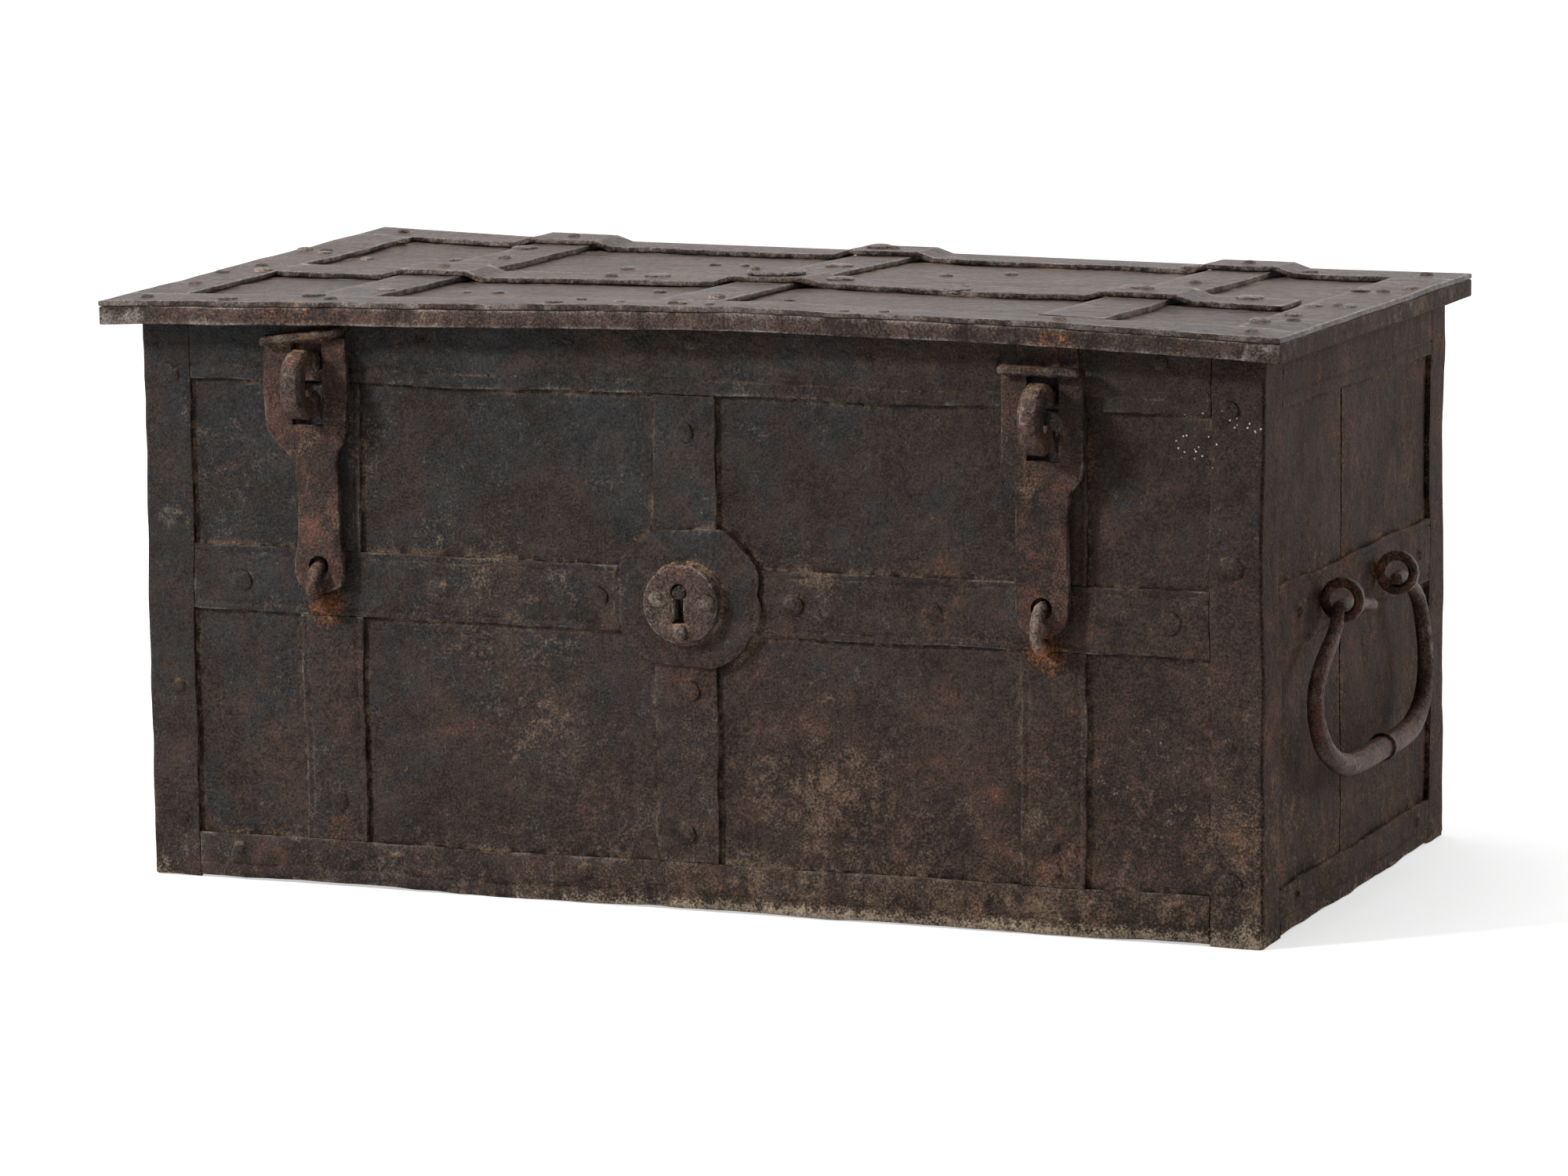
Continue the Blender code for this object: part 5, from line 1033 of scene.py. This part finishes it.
def floor():
    mesh = bpy.data.meshes.new("floor")
    bm = bmesh.new()
    bmesh.ops.create_grid(bm, x_segments=1, y_segments=1, size=FLOOR_SIZE)
    bm.to_mesh(mesh)
    bm.free()
    ground = bpy.data.objects.new("floor", mesh)
    ground.location.z = -FLOOR_DROP
    bpy.context.scene.collection.objects.link(ground)
    material = bpy.data.materials.new("pale_floor")
    material.use_nodes = True
    nodes, links = material.node_tree.nodes, material.node_tree.links
    shader = nodes["Principled BSDF"]
    shader.inputs["Base Color"].default_value = FLOOR_COLOUR
    shader.inputs["Roughness"].default_value = FLOOR_ROUGH
    shader.inputs["Specular IOR Level"].default_value = FLOOR_SHEEN
    shader.inputs["Emission Color"].default_value = FULL_WHITE
    place = nodes.new("ShaderNodeTexCoord")
    away = nodes.new("ShaderNodeVectorMath")
    away.operation = "LENGTH"
    links.new(place.outputs["Object"], away.inputs[0])
    far = nodes.new("ShaderNodeMapRange")
    far.inputs["From Min"].default_value = FLOOR_NEAR
    far.inputs["From Max"].default_value = FLOOR_FAR
    far.inputs["To Min"].default_value = NEAR_GLOW
    far.inputs["To Max"].default_value = FAR_GLOW
    links.new(away.outputs["Value"], far.inputs["Value"])
    glow = nodes.new("ShaderNodeMath")
    glow.operation = "MULTIPLY"
    links.new(far.outputs["Result"], glow.inputs[0])
    links.new(seen_white(nodes, links, 0.0, 1.0), glow.inputs[1])
    links.new(glow.outputs[0], shader.inputs["Emission Strength"])
    mesh.materials.append(material)


def background():
    world = bpy.data.worlds.new("studio")
    bpy.context.scene.world = world
    world.use_nodes = True
    nodes, links = world.node_tree.nodes, world.node_tree.links
    shader = nodes["Background"]
    shader.inputs["Color"].default_value = FULL_WHITE
    links.new(seen_white(nodes, links, ROOM_LIGHT, 1.0), shader.inputs["Strength"])


def softbox(name, place, aim, size, power):
    data = bpy.data.lights.new(name, "AREA")
    data.shape = "RECTANGLE"
    data.size, data.size_y = size
    data.energy = power
    lamp = bpy.data.objects.new(name, data)
    lamp.location = place
    lamp.rotation_euler = (Vector(aim) - Vector(place)).to_track_quat("-Z", "Y").to_euler()
    bpy.context.scene.collection.objects.link(lamp)


def camera():
    data = bpy.data.cameras.new("camera")
    data.lens = LENS
    data.sensor_width = SENSOR
    data.sensor_fit = "HORIZONTAL"
    data.clip_end = FARTHEST
    flat = cos(ELEVATION)
    out = Vector((sin(AZIMUTH) * flat, -cos(AZIMUTH) * flat, sin(ELEVATION)))
    right = Vector((cos(AZIMUTH), sin(AZIMUTH), 0.0))
    up = out.cross(right)
    across = right * cos(ROLL) + up * sin(ROLL)
    above = up * cos(ROLL) - right * sin(ROLL)
    turn = Matrix((across, above, out)).transposed().to_4x4()
    viewer = bpy.data.objects.new("camera", data)
    viewer.matrix_world = Matrix.Translation(AIM + out * DISTANCE) @ turn
    bpy.context.scene.collection.objects.link(viewer)
    bpy.context.scene.camera = viewer


floor()
background()
for lamp in LAMPS:
    softbox(*lamp)
camera()
bpy.context.scene.view_settings.view_transform = "Standard"
